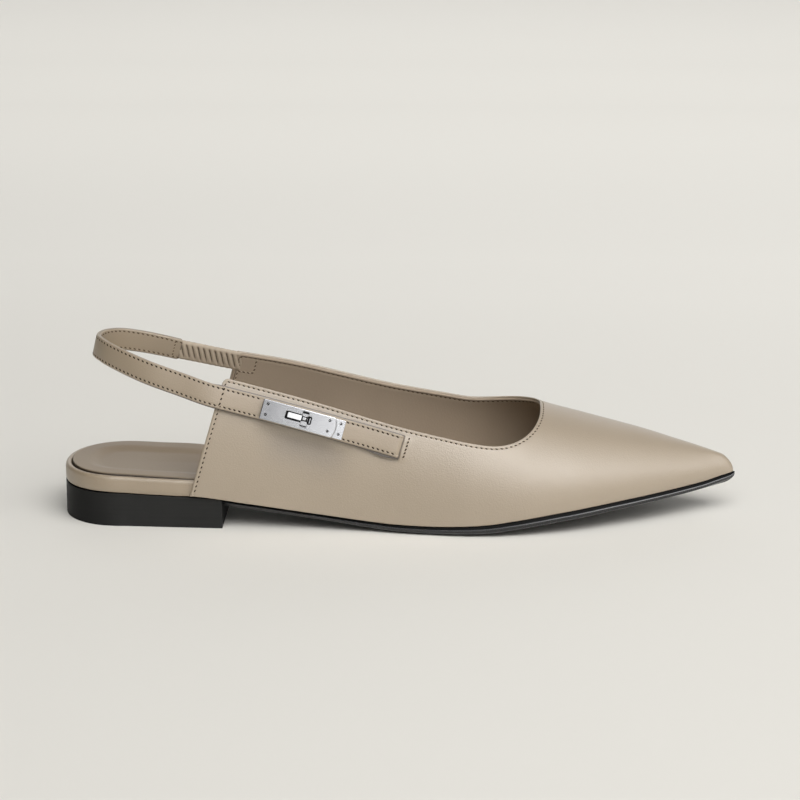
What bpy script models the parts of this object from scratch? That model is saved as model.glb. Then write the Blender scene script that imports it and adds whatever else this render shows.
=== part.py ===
"""Right shoe of a pair of flat, pointed slingbacks.

Sizes are millimetres and become metres as each mesh is made. +X points to the toe, -Y to the outer
side of the foot and +Z up. The shoe stands on the plane z = 0, with the middle of its length at x = 0.
"""
import math

import bmesh
import bpy
import numpy as np
from mathutils import Matrix

MM = 0.001
GAP = 0.3


def table(heads, *rows):
    """A short table of sections: one named column of numbers for each word in heads."""
    return dict(zip(heads.split(), np.array(rows, float).T))


# Length and ends of the shoe
HEEL_BACK = -134.3
TOE_TIP = 134.3
HEEL_ROUND = 24.0
HEEL_POWER = 1.8
TOE_ROUND = 7.0
TOE_DROP = 6.0

# Outline of the sole, height of the upper's lower edge, tread under the middle, depth of the side edge
SOLE = table(
    "x lateral medial feather tread edge",
    (-134.3, -27.0, 27.0, 13.6, 10.9, 2.4),
    (-110.3, -27.0, 27.0, 13.6, 10.9, 2.4),
    (-95.0, -27.8, 25.2, 13.6, 10.9, 2.4),
    (-81.0, -28.6, 23.2, 13.1, 10.4, 2.4),
    (-60.0, -29.6, 20.8, 10.5, 7.7, 2.3),
    (-35.0, -31.0, 20.8, 7.2, 4.1, 2.2),
    (-10.0, -33.6, 25.4, 4.3, 0.9, 2.3),
    (-2.0, -34.8, 27.8, 3.7, 0.0, 2.4),
    (10.0, -36.6, 31.6, 3.5, 0.0, 2.4),
    (30.0, -38.6, 37.0, 4.3, 0.0, 2.8),
    (36.0, -38.6, 38.0, 4.9, 0.0, 3.0),
    (45.0, -38.0, 38.6, 6.2, 1.0, 3.1),
    (65.0, -33.6, 36.6, 8.8, 3.8, 3.1),
    (85.0, -25.2, 30.8, 10.7, 6.2, 2.9),
    (105.0, -14.2, 22.4, 12.1, 8.3, 2.7),
    (120.0, -4.8, 14.8, 13.3, 9.9, 2.5),
    (129.0, 0.4, 9.6, 14.8, 11.4, 2.4),
    (134.3, 1.4, 8.6, 15.7, 12.6, 2.4),
)
# How far the outsole and the upper's lower edge stand outside that outline
OUTSOLE_REACH = table("x grow", (-134.3, 0.0), (-95.0, 0.0), (-66.0, -1.0), (-30.0, -0.8), (10.0, 0.0), (134.3, 0.0))
UPPER_REACH = table("x grow", (-82.0, 1.4), (-50.0, 0.6), (-10.0, -0.3), (30.0, -0.6), (134.3, -0.6))
TREAD_SHARE = 0.72

# Ridge line of the last: its sideways place and its height
CROWN = table(
    "x side height",
    (-82.0, 1.0, 84.0),
    (-40.0, 1.5, 75.0),
    (0.0, 3.0, 64.0),
    (30.0, 4.0, 55.0),
    (56.0, 4.5, 44.0),
    (88.0, 5.0, 33.6),
    (108.0, 5.0, 27.6),
    (120.0, 5.0, 24.9),
    (134.3, 5.0, 20.6),
)
FULLNESS = 2.1
BULGE = 1.0
WALL = 1.8
TOE_BOX_FILL = 2.6

# Share of each half section that the opening takes, back of the throat's round front
OPENING = table(
    "x lateral medial",
    (-82.0, 0.735, 0.745),
    (-40.0, 0.77, 0.715),
    (0.0, 0.805, 0.735),
    (24.0, 0.825, 0.76),
)
THROAT_START = 24.0
THROAT_FRONT = 56.0
THROAT_POWER = 3.0
VAMP_START = 66.0

# Back edge of the quarters
QUARTER_BACK = -82.0
MEDIAL_FORWARD = 2.4
QUARTER_LEAN = 12.6
LEAN_REACH = 110.0
CORNER = 4.0

# Rand round the heel seat, and the insole inside it
RAND_WIDTH = 2.4
RAND_HEIGHT = 6.4
RAND_FRONT = -73.0
RAND_TUCK = 0.95
INSOLE_FRONT = 116.0
INSOLE = table(
    "x grow thick dish",
    (-134.3, -2.85, 6.2, 0.0),
    (-118.0, -2.85, 6.2, 0.9),
    (-100.0, -2.85, 6.1, 1.3),
    (-80.0, -2.85, 5.6, 0.9),
    (-62.0, -2.3, 5.0, 0.3),
    (-30.0, -2.6, 4.0, 0.0),
    (30.0, -3.0, 3.4, 0.0),
    (90.0, -3.2, 3.0, 0.0),
    (116.0, -3.6, 2.8, 0.0),
)

# Heel block
HEEL_BREAST = -69.5
HEEL_TAPER = 0.7

# Strap: its seat on the outer quarter as an angle down from the ridge, then its loop in the air
STRAP_WIDTH = 8.0
STRAP_THICK = 1.8
STRAP_SEAT = table(
    "x angle",
    (1.0, 60.8),
    (-11.0, 59.7),
    (-25.0, 58.9),
    (-39.0, 58.0),
    (-53.0, 57.0),
    (-64.0, 56.2),
    (-73.0, 55.5),
)
STRAP_LOOP = table(
    "x y z lean",
    (-85.3, -23.6, 56.9, 17.0),
    (-99.0, -19.9, 60.9, 14.0),
    (-109.6, -14.4, 64.1, 11.0),
    (-117.4, -8.0, 66.2, 9.0),
    (-121.4, 0.0, 67.2, 8.0),
    (-119.4, 7.0, 67.3, 8.0),
    (-113.6, 12.9, 66.4, 9.0),
    (-105.3, 16.8, 64.5, 10.0),
    (-97.5, 18.4, 62.6, 11.0),
    (-89.6, 19.2, 60.6, 12.0),
)
ELASTIC_WIDTH = 7.0
ELASTIC_THICK = 2.4
ELASTIC_HEIGHT = 56.7
ELASTIC_CLEAR = 0.7

# Turn-lock clasp, measured along the strap from its heel end
CLASP_PLACE = -37.3
CLASP_LIFT = 0.5
PLATE_LENGTH = 28.6
PLATE_BULGE = 1.3
PLATE_HEIGHT = 7.6
PLATE_THICK = 1.4
BASE_LENGTH = 33.0
BASE_HEIGHT = 7.2
BASE_THICK = 0.9
SLOT_START = 9.6
SLOT_END = 20.6
SLOT_HEIGHT = 3.2
KNOB_AT = 17.3
KNOB_STEM = 2.4
KNOB_LONG = 5.8
KNOB_WIDE = 2.5
KNOB_THICK = 1.6
PIN_ALONG = (2.0, 26.8, 31.2)
PIN_ACROSS = 2.1
PIN_WIDE = 1.1
PIN_PROUD = 0.35

COLOURS = {
    "taupe_leather": (0.42, 0.34, 0.25, 1),
    "insole_leather": (0.36, 0.29, 0.22, 1),
    "black_sole": (0.015, 0.015, 0.016, 1),
    "gathered_elastic": (0.40, 0.32, 0.24, 1),
    "bright_metal": (0.80, 0.80, 0.81, 1),
}


def follow(rows, head, x):
    """A smooth curve through a table's column that never swings past its rows."""
    xs, ys = rows["x"], rows[head]
    step = np.diff(xs)
    rise = np.diff(ys) / step
    slope = np.zeros(len(xs))
    slope[0], slope[-1] = rise[0], rise[-1]
    for i in range(1, len(xs) - 1):
        if rise[i - 1] * rise[i] > 0:
            near, far = 2 * step[i] + step[i - 1], step[i] + 2 * step[i - 1]
            slope[i] = (near + far) / (near / rise[i - 1] + far / rise[i])
    x = min(max(float(x), xs[0]), xs[-1])
    i = min(int(np.searchsorted(xs, x, side="right")) - 1, len(step) - 1)
    t = (x - xs[i]) / step[i]
    ends = ys[i] * (1 + 2 * t) * (1 - t) ** 2 + ys[i + 1] * t * t * (3 - 2 * t)
    return float(ends + step[i] * t * (1 - t) * (slope[i] * (1 - t) - slope[i + 1] * t))


def rounding(into, length, power):
    """0 at an end and 1 from length inwards, with a round shoulder between."""
    if into >= length:
        return 1.0
    return max(0.0, 1 - (1 - max(into, 0.0) / length) ** power) ** (1 / power)


def outline(x, grow, fill=0.0):
    """Outer and inner edge of the shoe's plan at x, moved out by grow; fill takes more off the toe."""
    lateral, medial = follow(SOLE, "lateral", x), follow(SOLE, "medial", x)
    half = (medial - lateral) / 2 + grow
    half *= rounding(x - HEEL_BACK + grow, HEEL_ROUND + grow, HEEL_POWER)
    half *= rounding(TOE_TIP + grow - fill - x, TOE_ROUND + grow, 2.0)
    middle = (lateral + medial) / 2
    return middle - half, middle + half


def last_point(x, side, angle, inset=0.0):
    """Point of the upper on one side (-1 outer, 1 inner): angle 0 at the ridge, a right angle at the sole."""
    grow = follow(UPPER_REACH, "grow", x) - inset
    fill = TOE_BOX_FILL if inset else 0.0
    edge = outline(x, grow, fill)[0 if side < 0 else 1]
    ridge = follow(CROWN, "side", x)
    feather = follow(SOLE, "feather", x)
    half = max(0.0, side * (edge - ridge))
    rise = follow(CROWN, "height", x) - feather - inset
    rise *= rounding(TOE_TIP + grow - fill - x, TOE_DROP, 1.7)
    over, up = math.sin(angle), max(0.0, math.cos(angle))
    out = half * over ** (2 / FULLNESS) + BULGE * min(1.0, half / 10) * 4 * over**6 * up
    return np.array([x, ridge + side * out, feather + max(0.0, rise) * up ** (2 / FULLNESS)])


def last_normal(x, side, angle):
    """Outward direction of the upper's face at a point."""
    along = last_point(x + 0.5, side, angle) - last_point(x - 0.5, side, angle)
    down = last_point(x, side, angle + 0.01) - last_point(x, side, angle - 0.01)
    across = np.cross(along, down) * side
    return across / np.linalg.norm(across)


def opening_angle(x, side):
    """Angle from the ridge at which the upper stops: the opening's edge."""
    if x >= THROAT_FRONT:
        return 0.0
    share = follow(OPENING, "lateral" if side < 0 else "medial", x)
    into = max(0.0, (x - THROAT_START) / (THROAT_FRONT - THROAT_START))
    share *= (1 - into**THROAT_POWER) ** (1 / THROAT_POWER)
    return math.asin(share ** (FULLNESS / 2))


def lean(x):
    """How far a line that starts at x on the sole has come forward at the opening's edge."""
    return QUARTER_LEAN * max(0.0, 1 - (x - QUARTER_BACK) / LEAN_REACH) ** 2


def upper_rows():
    """Lines up the upper, back to toe: where each starts on the sole and where it ends at the opening."""
    rows = [(QUARTER_BACK + CORNER * (1 - math.cos(a)), None) for a in np.linspace(0, math.pi / 2, 5)]
    rows += [(x, None) for x in np.linspace(QUARTER_BACK + CORNER, 16.0, 12)[1:]]
    rows = [(x, x + lean(x)) for x, _ in rows]
    for part in np.linspace(0, 1, 10):
        reach = math.sin(part * math.pi / 2) ** (2 / THROAT_POWER)
        top = THROAT_START + (THROAT_FRONT - THROAT_START) * reach
        rows.append((THROAT_START + (VAMP_START - THROAT_START) * part, top))
    tip = TOE_TIP + UPPER_REACH["grow"][-1]
    for part in np.linspace(0, 1, 17)[1:]:
        eased = math.sin(part * math.pi / 2) ** 0.92
        rows.append((VAMP_START + (tip - VAMP_START) * eased, THROAT_FRONT + (tip - THROAT_FRONT) * eased))
    return rows


def upper_point(row, side, height, inset=0.0):
    """Point at a share of the height, 0 on the sole and 1 at the opening, on one line up the upper."""
    start, end = row
    top = opening_angle(end, side)
    reach = math.cos(top) ** (2 / FULLNESS)
    into = start - QUARTER_BACK
    if into < CORNER:
        rise = follow(CROWN, "height", end) - follow(SOLE, "feather", end)
        reach -= (CORNER - math.sqrt(CORNER**2 - (CORNER - into) ** 2)) / rise
        top = math.acos(reach ** (FULLNESS / 2))
    angle = math.pi / 2 + height * (top - math.pi / 2)
    share = max(0.0, math.cos(angle)) ** (2 / FULLNESS) / reach
    x = start + (end - start) * share
    if side > 0:
        x += MEDIAL_FORWARD * max(0.0, 1 - into / 70) ** 2
    if inset:
        x -= (inset + TOE_BOX_FILL) * max(0.0, (x - THROAT_FRONT) / (TOE_TIP - THROAT_FRONT)) ** 3
    return last_point(x, side, angle, inset)


def material(name):
    """The plain material of one slot."""
    found = bpy.data.materials.get(name)
    if found is None:
        found = bpy.data.materials.new(name)
        found.use_nodes = True
        shader = found.node_tree.nodes["Principled BSDF"]
        shader.inputs["Base Color"].default_value = COLOURS[name]
        shader.inputs["Metallic"].default_value = 1.0 if name == "bright_metal" else 0.0
        shader.inputs["Roughness"].default_value = 0.3 if name == "bright_metal" else 0.5
    return found


def solid(name, points, faces, slot, place=None):
    """One closed piece from points in millimetres."""
    shape = bmesh.new()
    verts = [shape.verts.new(p) for p in np.asarray(points, float) * MM]
    for face in faces:
        shape.faces.new([verts[i] for i in face])
    bmesh.ops.remove_doubles(shape, verts=shape.verts, dist=0.00001)
    bmesh.ops.dissolve_degenerate(shape, edges=shape.edges, dist=0.000001)
    bmesh.ops.recalc_face_normals(shape, faces=shape.faces)
    mesh = bpy.data.meshes.new(name)
    shape.to_mesh(mesh)
    shape.free()
    mesh.materials.append(material(slot))
    piece = bpy.data.objects.new(name, mesh)
    if place is not None:
        piece.matrix_world = place
    SHOE.objects.link(piece)
    return piece


def loft(name, rings, slot, place=None):
    """A piece through rings of the same number of points, closed by a face at each end."""
    count = len(rings[0])
    points = np.concatenate(rings)
    faces = [tuple(range(count)), tuple(range(len(points) - count, len(points)))]
    for i in range(len(rings) - 1):
        for j in range(count):
            a, b = i * count + j, i * count + (j + 1) % count
            faces.append((a, b, b + count, a + count))
    return solid(name, points, faces, slot, place)


def sole_stations(back, front):
    """Places along the shoe for the sole's sections, close together where an end is round."""
    heel = [HEEL_BACK + HEEL_ROUND * (1 - math.cos(a)) for a in np.radians((4, 14, 25, 37, 50, 64, 78, 90))]
    body = [-102, -95, -88, -81, HEEL_BREAST, -58, -47, -35, -22, -10, -2, 10, 20, 30, 36, 45]
    body += [55, 65, 75, 85, 95, 105, 113, 120]
    toe = [TOE_TIP - TOE_ROUND * (1 - math.sin(a)) for a in np.radians((0, 18, 36, 53, 68, 80, 86))]
    return [x for x in heel + body + toe if back - 0.01 <= x <= front + 0.01]


def outsole():
    """Thin sole with an upright edge and a tread that is flat at the ball and curls up to the toe."""
    rings = []
    for x in sole_stations(HEEL_BACK, TOE_TIP):
        left, right = outline(x, follow(OUTSOLE_REACH, "grow", x))
        top = follow(SOLE, "feather", x) - GAP
        low = top - follow(SOLE, "edge", x)
        tread = min(low, follow(SOLE, "tread", x))
        middle, half = (left + right) / 2, (right - left) / 2 * TREAD_SHARE
        section = ((left, top), (left, low), (middle - half, tread), (middle + half, tread), (right, low), (right, top))
        rings.append(np.array([(x, y, z) for y, z in section]))
    return loft("outsole", rings, "black_sole")


def heel():
    """Low block under the heel seat, flat below and cut straight at its breast."""
    rings = []
    for x in sole_stations(HEEL_BACK, HEEL_BREAST):
        left, right = outline(x, 0.0)
        inner_left, inner_right = outline(min(x + HEEL_TAPER, HEEL_BREAST), -HEEL_TAPER)
        top = min(follow(SOLE, "feather", x) - GAP - follow(SOLE, "edge", x), follow(SOLE, "tread", x)) - GAP
        section = ((left, top), (inner_left, 0.0), (inner_right, 0.0), (right, top))
        rings.append(np.array([(x, y, z) for y, z in section]))
    return loft("heel", rings, "black_sole")


def heel_rand():
    """Leather-covered band round the heel seat; its ends narrow and tuck inside the quarters."""
    places = [(x, x) for x in (RAND_FRONT, -78.0, -82.5, -86.0, -93.0, -101.0)]
    for turn in np.radians((90, 76, 63, 51, 40, 30, 21, 12, 5, 0)):
        round_in = HEEL_ROUND - RAND_WIDTH
        outer = HEEL_BACK + HEEL_ROUND * (1 - math.cos(turn))
        places.append((outer, HEEL_BACK + RAND_WIDTH + round_in * (1 - math.cos(turn))))
    rings = []
    for side, walk in ((0, places), (1, places[-2::-1])):
        for outer, inner in walk:
            tuck = RAND_TUCK * min(1.0, max(0.0, (outer + 87.0) / 4.0))
            start = np.array([outer, outline(outer, -tuck)[side]])
            end = np.array([inner, outline(inner, -RAND_WIDTH)[side]])
            base = follow(SOLE, "feather", outer)
            top = base + RAND_HEIGHT
            section = ((0, base), (0, top - 1.3), (0.17, top - 0.4), (0.5, top), (0.8, top), (1, top - 0.5), (1, base))
            rings.append(np.array([(*(start + (end - start) * share), z) for share, z in section]))
    return loft("heel_rand", rings, "taupe_leather")


def insole():
    """Padded sock on the sole, dished at the heel."""
    inner_back = HEEL_BACK - INSOLE["grow"][0]
    stations = [inner_back + 21 * (1 - math.cos(a)) for a in np.radians((6, 18, 31, 45, 60, 75, 90))]
    stations += [-102, -92, -82, -72, -62, -50, -38, -26, -14, -2, 10, 22, 34, 46, 58, 70, 82, 94, 104, 111]
    stations += [114.5, INSOLE_FRONT]
    rings = []
    for x in stations:
        left, right = outline(x, follow(INSOLE, "grow", x))
        base = follow(SOLE, "feather", x)
        top = base + follow(INSOLE, "thick", x)
        dish = follow(INSOLE, "dish", x)
        middle, half = (left + right) / 2, (right - left) / 2
        round_off = min(0.7, half * 0.4)
        section = [(left, base), (left, top - round_off), (left + round_off, top)]
        section += [(middle + half * s, top - dish * (1 - s * s) ** 2) for s in (-0.6, -0.3, 0.0, 0.3, 0.6)]
        section += [(right - round_off, top), (right, top - round_off), (right, base)]
        rings.append(np.array([(x, y, z) for y, z in section]))
    return loft("insole", rings, "insole_leather")


def upper():
    """Vamp and both quarters in one hollow wall, open at the foot's opening, the back and below."""
    rows = upper_rows()
    heights = np.linspace(0, 1, 11)
    points, number = [], {}
    for skin, inset in enumerate((0.0, WALL)):
        for side in (-1, 1):
            for i, row in enumerate(rows):
                for j, height in enumerate(heights):
                    number[skin, side, i, j] = len(points)
                    points.append(upper_point(row, side, height, inset))
    faces = []
    last_row, last_col = len(rows) - 1, len(heights) - 1
    throat = next(i for i, row in enumerate(rows) if row[1] >= THROAT_FRONT)
    for side in (-1, 1):
        for skin in (0, 1):
            for i in range(last_row):
                for j in range(last_col):
                    corners = ((i, j), (i + 1, j), (i + 1, j + 1), (i, j + 1))
                    faces.append([number[skin, side, a, b] for a, b in corners])
        rims = [((i, 0), (i + 1, 0)) for i in range(last_row)]
        rims += [((0, j), (0, j + 1)) for j in range(last_col)]
        rims += [((i, last_col), (i + 1, last_col)) for i in range(throat)]
        for a, b in rims:
            faces.append([number[0, side, *a], number[0, side, *b], number[1, side, *b], number[1, side, *a]])
    return solid("upper", points, clean(points, faces), "taupe_leather")


def clean(points, faces):
    """Faces with the corners that fall on one place joined, and without those that close up or repeat."""
    places, kept, seen = {}, [], set()
    for face in faces:
        corners = []
        for i in face:
            key = tuple(np.round(points[i], 4))
            i = places.setdefault(key, i)
            if i not in corners:
                corners.append(i)
        if len(corners) > 2 and frozenset(corners) not in seen:
            seen.add(frozenset(corners))
            kept.append(corners)
    return kept


def ribbon(name, centres, ups, width, thick, slot):
    """A flat band along centres; ups point to its upper edge."""
    along = np.gradient(centres, axis=0)
    along /= np.linalg.norm(along, axis=1)[:, None]
    ups = ups - along * (ups * along).sum(1)[:, None]
    ups /= np.linalg.norm(ups, axis=1)[:, None]
    outs = np.cross(along, ups)
    soft = thick * 0.3
    half, deep = width / 2, thick / 2
    section = ((half, deep - soft), (half - soft, deep), (soft - half, deep), (-half, deep - soft))
    section += tuple((-u, -w) for u, w in section)
    rings = [np.array([c + up * u + out * w for u, w in section]) for c, up, out in zip(centres, ups, outs)]
    return loft(name, rings, slot)


def smooth_path(knots, count):
    """Points along a smooth curve through knots, close to evenly spaced."""
    knots = np.array(knots, float)
    reach = np.concatenate([[0], np.cumsum(np.linalg.norm(np.diff(knots[:, :3], axis=0), axis=1))])
    places = np.linspace(0, reach[-1], count)
    columns = []
    for column in knots.T:
        slope = np.gradient(column, reach)
        i = np.clip(np.searchsorted(reach, places, side="right") - 1, 0, len(reach) - 2)
        span = reach[i + 1] - reach[i]
        t = (places - reach[i]) / span
        ends = column[i] * (1 + 2 * t) * (1 - t) ** 2 + column[i + 1] * t * t * (3 - 2 * t)
        columns.append(ends + span * t * (1 - t) * (slope[i] * (1 - t) - slope[i + 1] * t))
    return np.stack(columns, -1)


def strap_knots():
    """Middle of the strap and its upward direction: seated on the outer quarter, then round the heel."""
    knots = []
    lift = GAP + STRAP_THICK / 2
    for x, degrees in zip(STRAP_SEAT["x"], STRAP_SEAT["angle"]):
        angle = math.radians(degrees)
        up = last_point(x, -1, angle - 0.05) - last_point(x, -1, angle + 0.05)
        middle = last_point(x, -1, angle) + lift * last_normal(x, -1, angle)
        knots.append((*middle, *(up / np.linalg.norm(up))))
    heads = ("x", "y", "z", "lean")
    loop = np.stack([STRAP_LOOP[head] for head in heads], -1)
    hub = np.array([-88.0, 0.0])
    for x, y, z, degrees in loop:
        inward = hub - (x, y)
        inward /= np.linalg.norm(inward)
        tilt = math.radians(degrees)
        knots.append((x, y, z, *(inward * math.sin(tilt)), math.cos(tilt)))
    return knots


def sling_strap():
    """Strap from its slit on the outer quarter, round the back of the heel, to the elastic."""
    path = smooth_path(strap_knots(), 56)
    return ribbon("sling_strap", path[:, :3], path[:, 3:], STRAP_WIDTH, STRAP_THICK, "taupe_leather")


def elastic():
    """Gathered elastic between the strap's end and the back edge of the inner quarter."""
    path = smooth_path(strap_knots(), 56)
    start, step = path[-1, :3], path[-1, :3] - path[-2, :3]
    start = start + step / np.linalg.norm(step) * ELASTIC_CLEAR
    row = (QUARTER_BACK, QUARTER_BACK + QUARTER_LEAN)
    edge = [(upper_point(row, 1, t) + upper_point(row, 1, t, WALL)) / 2 for t in np.linspace(0, 1, 200)]
    end = min(edge, key=lambda p: abs(p[2] - ELASTIC_HEIGHT))
    end = end - (end - start) / np.linalg.norm(end - start) * ELASTIC_CLEAR * 1.5
    centres = np.linspace(start, end, 9)
    back_up = path[-1, 3:]
    edge_up = upper_point(row, 1, 0.95) - upper_point(row, 1, 0.6)
    edge_up /= np.linalg.norm(edge_up)
    ups = np.array([back_up * (1 - t) + edge_up * t for t in np.linspace(0, 1, 9)])
    return ribbon("elastic", centres, ups, ELASTIC_WIDTH, ELASTIC_THICK, "gathered_elastic")


def clasp_frame():
    """Place of the clasp: its X runs along the strap to the toe, its Z out of the shoe, from its heel end."""
    path = smooth_path(strap_knots(), 400)
    nearest = int(np.abs(path[:, 0] - CLASP_PLACE).argmin())
    along = path[nearest - 30, :3] - path[nearest + 30, :3]
    along /= np.linalg.norm(along)
    up = path[nearest, 3:] - along * (path[nearest, 3:] @ along)
    up /= np.linalg.norm(up)
    out = np.cross(along, up)
    corner = path[nearest, :3] + out * (STRAP_THICK / 2 + CLASP_LIFT) - along * BASE_LENGTH / 2
    frame = Matrix.Identity(4)
    for column, axis in enumerate((along, up, out)):
        for row in range(3):
            frame[row][column] = axis[row]
    frame.translation = corner * MM
    return frame


def circle(middle, wide, count):
    """Points of a round outline."""
    turn = np.linspace(0, 2 * math.pi, count, endpoint=False)
    return np.array([(middle[0] + wide / 2 * math.cos(a), middle[1] + wide / 2 * math.sin(a)) for a in turn])


def round_bar(middle, long, wide, count):
    """Outline of a bar with rounded ends, long across the strap."""
    points = []
    for a in np.linspace(0, 2 * math.pi, count, endpoint=False):
        c, s = math.cos(a), math.sin(a)
        points.append((middle[0] + wide / 2 * math.copysign(abs(c) ** 0.35, c),
                       middle[1] + long / 2 * math.copysign(abs(s) ** 0.35, s)))
    return np.array(points)


def prism(name, levels, slot, place):
    """A piece from outlines stacked along Z: (height, outline) pairs."""
    rings = [np.array([(x, y, height) for x, y in shape]) for height, shape in levels]
    return loft(name, rings, slot, place)


def cut(piece, cutter):
    """Takes the cutter's space out of a piece."""
    for home in list(cutter.users_collection):
        home.objects.unlink(cutter)
    CUTTERS.objects.link(cutter)
    cutter.hide_render = True
    cutter.display_type = "WIRE"
    less = piece.modifiers.new("Cut " + cutter.name, "BOOLEAN")
    less.operation = "DIFFERENCE"
    less.solver = "EXACT"
    less.object = cutter


def clasp():
    """Base plate, slotted top plate, turning knob and pins, stacked out from the strap."""
    place = clasp_frame()
    top_low = BASE_THICK + GAP
    top_high = top_low + PLATE_THICK
    tall = PLATE_HEIGHT / 2
    arc = [(PLATE_LENGTH + PLATE_BULGE * math.cos(a), tall * a / 1.35) for a in np.linspace(-1.2, 1.2, 9)]
    shape = [(0, tall), (0, -tall), (PLATE_LENGTH, -tall)] + arc + [(PLATE_LENGTH, tall)]
    edge = 0.3
    inner = [(min(max(x, edge), PLATE_LENGTH + PLATE_BULGE - edge), y * (1 - edge / tall)) for x, y in shape]
    levels = ((top_low, shape), (top_high - edge, shape), (top_high, inner))
    plate = prism("clasp_plate", levels, "bright_metal", place)
    low = BASE_HEIGHT / 2
    base_shape = [(0.4, low), (0.4, -low), (BASE_LENGTH, -low), (BASE_LENGTH, low)]
    base = prism("clasp_base", ((0, base_shape), (BASE_THICK, base_shape)), "bright_metal", place)

    slot = round_bar(((SLOT_START + SLOT_END) / 2, 0), SLOT_HEIGHT, SLOT_END - SLOT_START, 32)
    cut(plate, prism("slot_cutter", ((-3, slot), (6, slot)), "bright_metal", place))
    spots = [(along, side * PIN_ACROSS) for along in PIN_ALONG for side in (1, -1)]
    for count, spot in enumerate(spots, 1):
        hole = circle(spot, PIN_WIDE + 2 * GAP * 0.6, 16)
        bore = prism(f"pin_cutter_{count}", ((-3, hole), (6, hole)), "bright_metal", place)
        cut(base, bore)
        head = BASE_THICK
        if spot[0] < PLATE_LENGTH:
            cut(plate, bore)
            head = top_high
        rod = circle(spot, PIN_WIDE, 14)
        cap = circle(spot, PIN_WIDE * 0.6, 14)
        levels = ((0, rod), (head + PIN_PROUD * 0.5, rod), (head + PIN_PROUD, cap))
        prism(f"clasp_pin_{count}", levels, "bright_metal", place)

    stem = circle((KNOB_AT, 0), KNOB_STEM, 24)
    bar = round_bar((KNOB_AT, 0), KNOB_LONG, KNOB_WIDE, 24)
    crown = round_bar((KNOB_AT, 0), KNOB_LONG - 0.8, KNOB_WIDE - 0.8, 24)
    seat = top_high + GAP
    levels = ((top_low, stem), (seat, stem), (seat, bar), (seat + KNOB_THICK - 0.4, bar), (seat + KNOB_THICK, crown))
    prism("turn_knob", levels, "bright_metal", place)


for old in list(bpy.data.objects):
    bpy.data.objects.remove(old, do_unlink=True)
SHOE = bpy.data.collections.new("Slingback shoe")
CUTTERS = bpy.data.collections.new("Cutters")
for group in (SHOE, CUTTERS):
    bpy.context.scene.collection.children.link(group)
CUTTERS.hide_render = True

outsole()
heel()
heel_rand()
insole()
upper()
sling_strap()
elastic()
clasp()
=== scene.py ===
# %% [markdown]
# # A flat, pointed slingback shoe
# One right shoe stands on a pale floor and is seen from its outer side. It has a smooth taupe upper that
# is open behind the ankle, a strap round the heel with a small turning clasp, and a low black heel.
# The CAD model is the frame: it fixes where each piece is and how large. This lesson gives each piece
# its real surface, one step at a time, and hangs it on the CAD body that carries it.

# %% Load the frame
import math

import bmesh
import bpy
import numpy as np
from mathutils import Matrix, Vector


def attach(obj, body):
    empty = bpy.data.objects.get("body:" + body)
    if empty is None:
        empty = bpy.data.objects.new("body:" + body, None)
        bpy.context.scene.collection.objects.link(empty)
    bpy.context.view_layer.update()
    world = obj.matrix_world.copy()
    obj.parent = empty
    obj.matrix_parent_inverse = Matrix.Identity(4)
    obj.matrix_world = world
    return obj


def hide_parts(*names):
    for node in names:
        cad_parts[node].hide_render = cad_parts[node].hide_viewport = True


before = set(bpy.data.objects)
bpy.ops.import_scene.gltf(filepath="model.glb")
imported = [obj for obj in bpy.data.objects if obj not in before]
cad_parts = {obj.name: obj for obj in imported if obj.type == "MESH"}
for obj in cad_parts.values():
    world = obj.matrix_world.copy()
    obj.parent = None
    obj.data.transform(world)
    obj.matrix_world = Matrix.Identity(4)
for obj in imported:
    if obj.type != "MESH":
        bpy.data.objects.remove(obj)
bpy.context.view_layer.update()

MM = 0.001

# %% [markdown]
# ## The camera
# The photograph was taken with a long lens, from a little above and almost square to the shoe. A camera
# could be turned by eye until the outlines agree. Here its angle, distance and lens were worked out from
# points that are easy to find again, such as the toe, the heel's corners and the collar, so the numbers
# are simply set. The camera looks straight at its aim point, so it needs no lens shift.

# %% Camera
AZIMUTH, ELEVATION = math.radians(1.5176), math.radians(14.4861)
AIM = Vector((-0.00056, 0.0, 0.04502))
DISTANCE = 1.09533
FOCAL_PIXELS, PICTURE, SENSOR = 2754.47, 800, 36.0
FARTHEST = 50.0

level = math.cos(ELEVATION)
back = Vector((math.sin(AZIMUTH) * level, -math.cos(AZIMUTH) * level, math.sin(ELEVATION)))
bpy.ops.object.select_all(action="DESELECT")
bpy.ops.object.camera_add(location=AIM + back * DISTANCE, rotation=back.to_track_quat("Z", "Y").to_euler())
camera = bpy.context.object
camera.data.sensor_width = SENSOR
camera.data.lens = FOCAL_PIXELS / PICTURE * SENSOR
camera.data.clip_end = FARTHEST
bpy.context.scene.camera = camera
print("camera", [round(c, 3) for c in camera.location], "lens", round(camera.data.lens, 1))

# %% [markdown]
# ## Shader sums
# A finish is a small net of nodes. Linking them by hand is slow to read in code, so one small class
# stands for a socket: adding or multiplying two of them adds the Math node, and one method adds any
# other node. Everything that a surface varies goes to colour, roughness or bump, which also survive
# an export to other programs.

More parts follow.
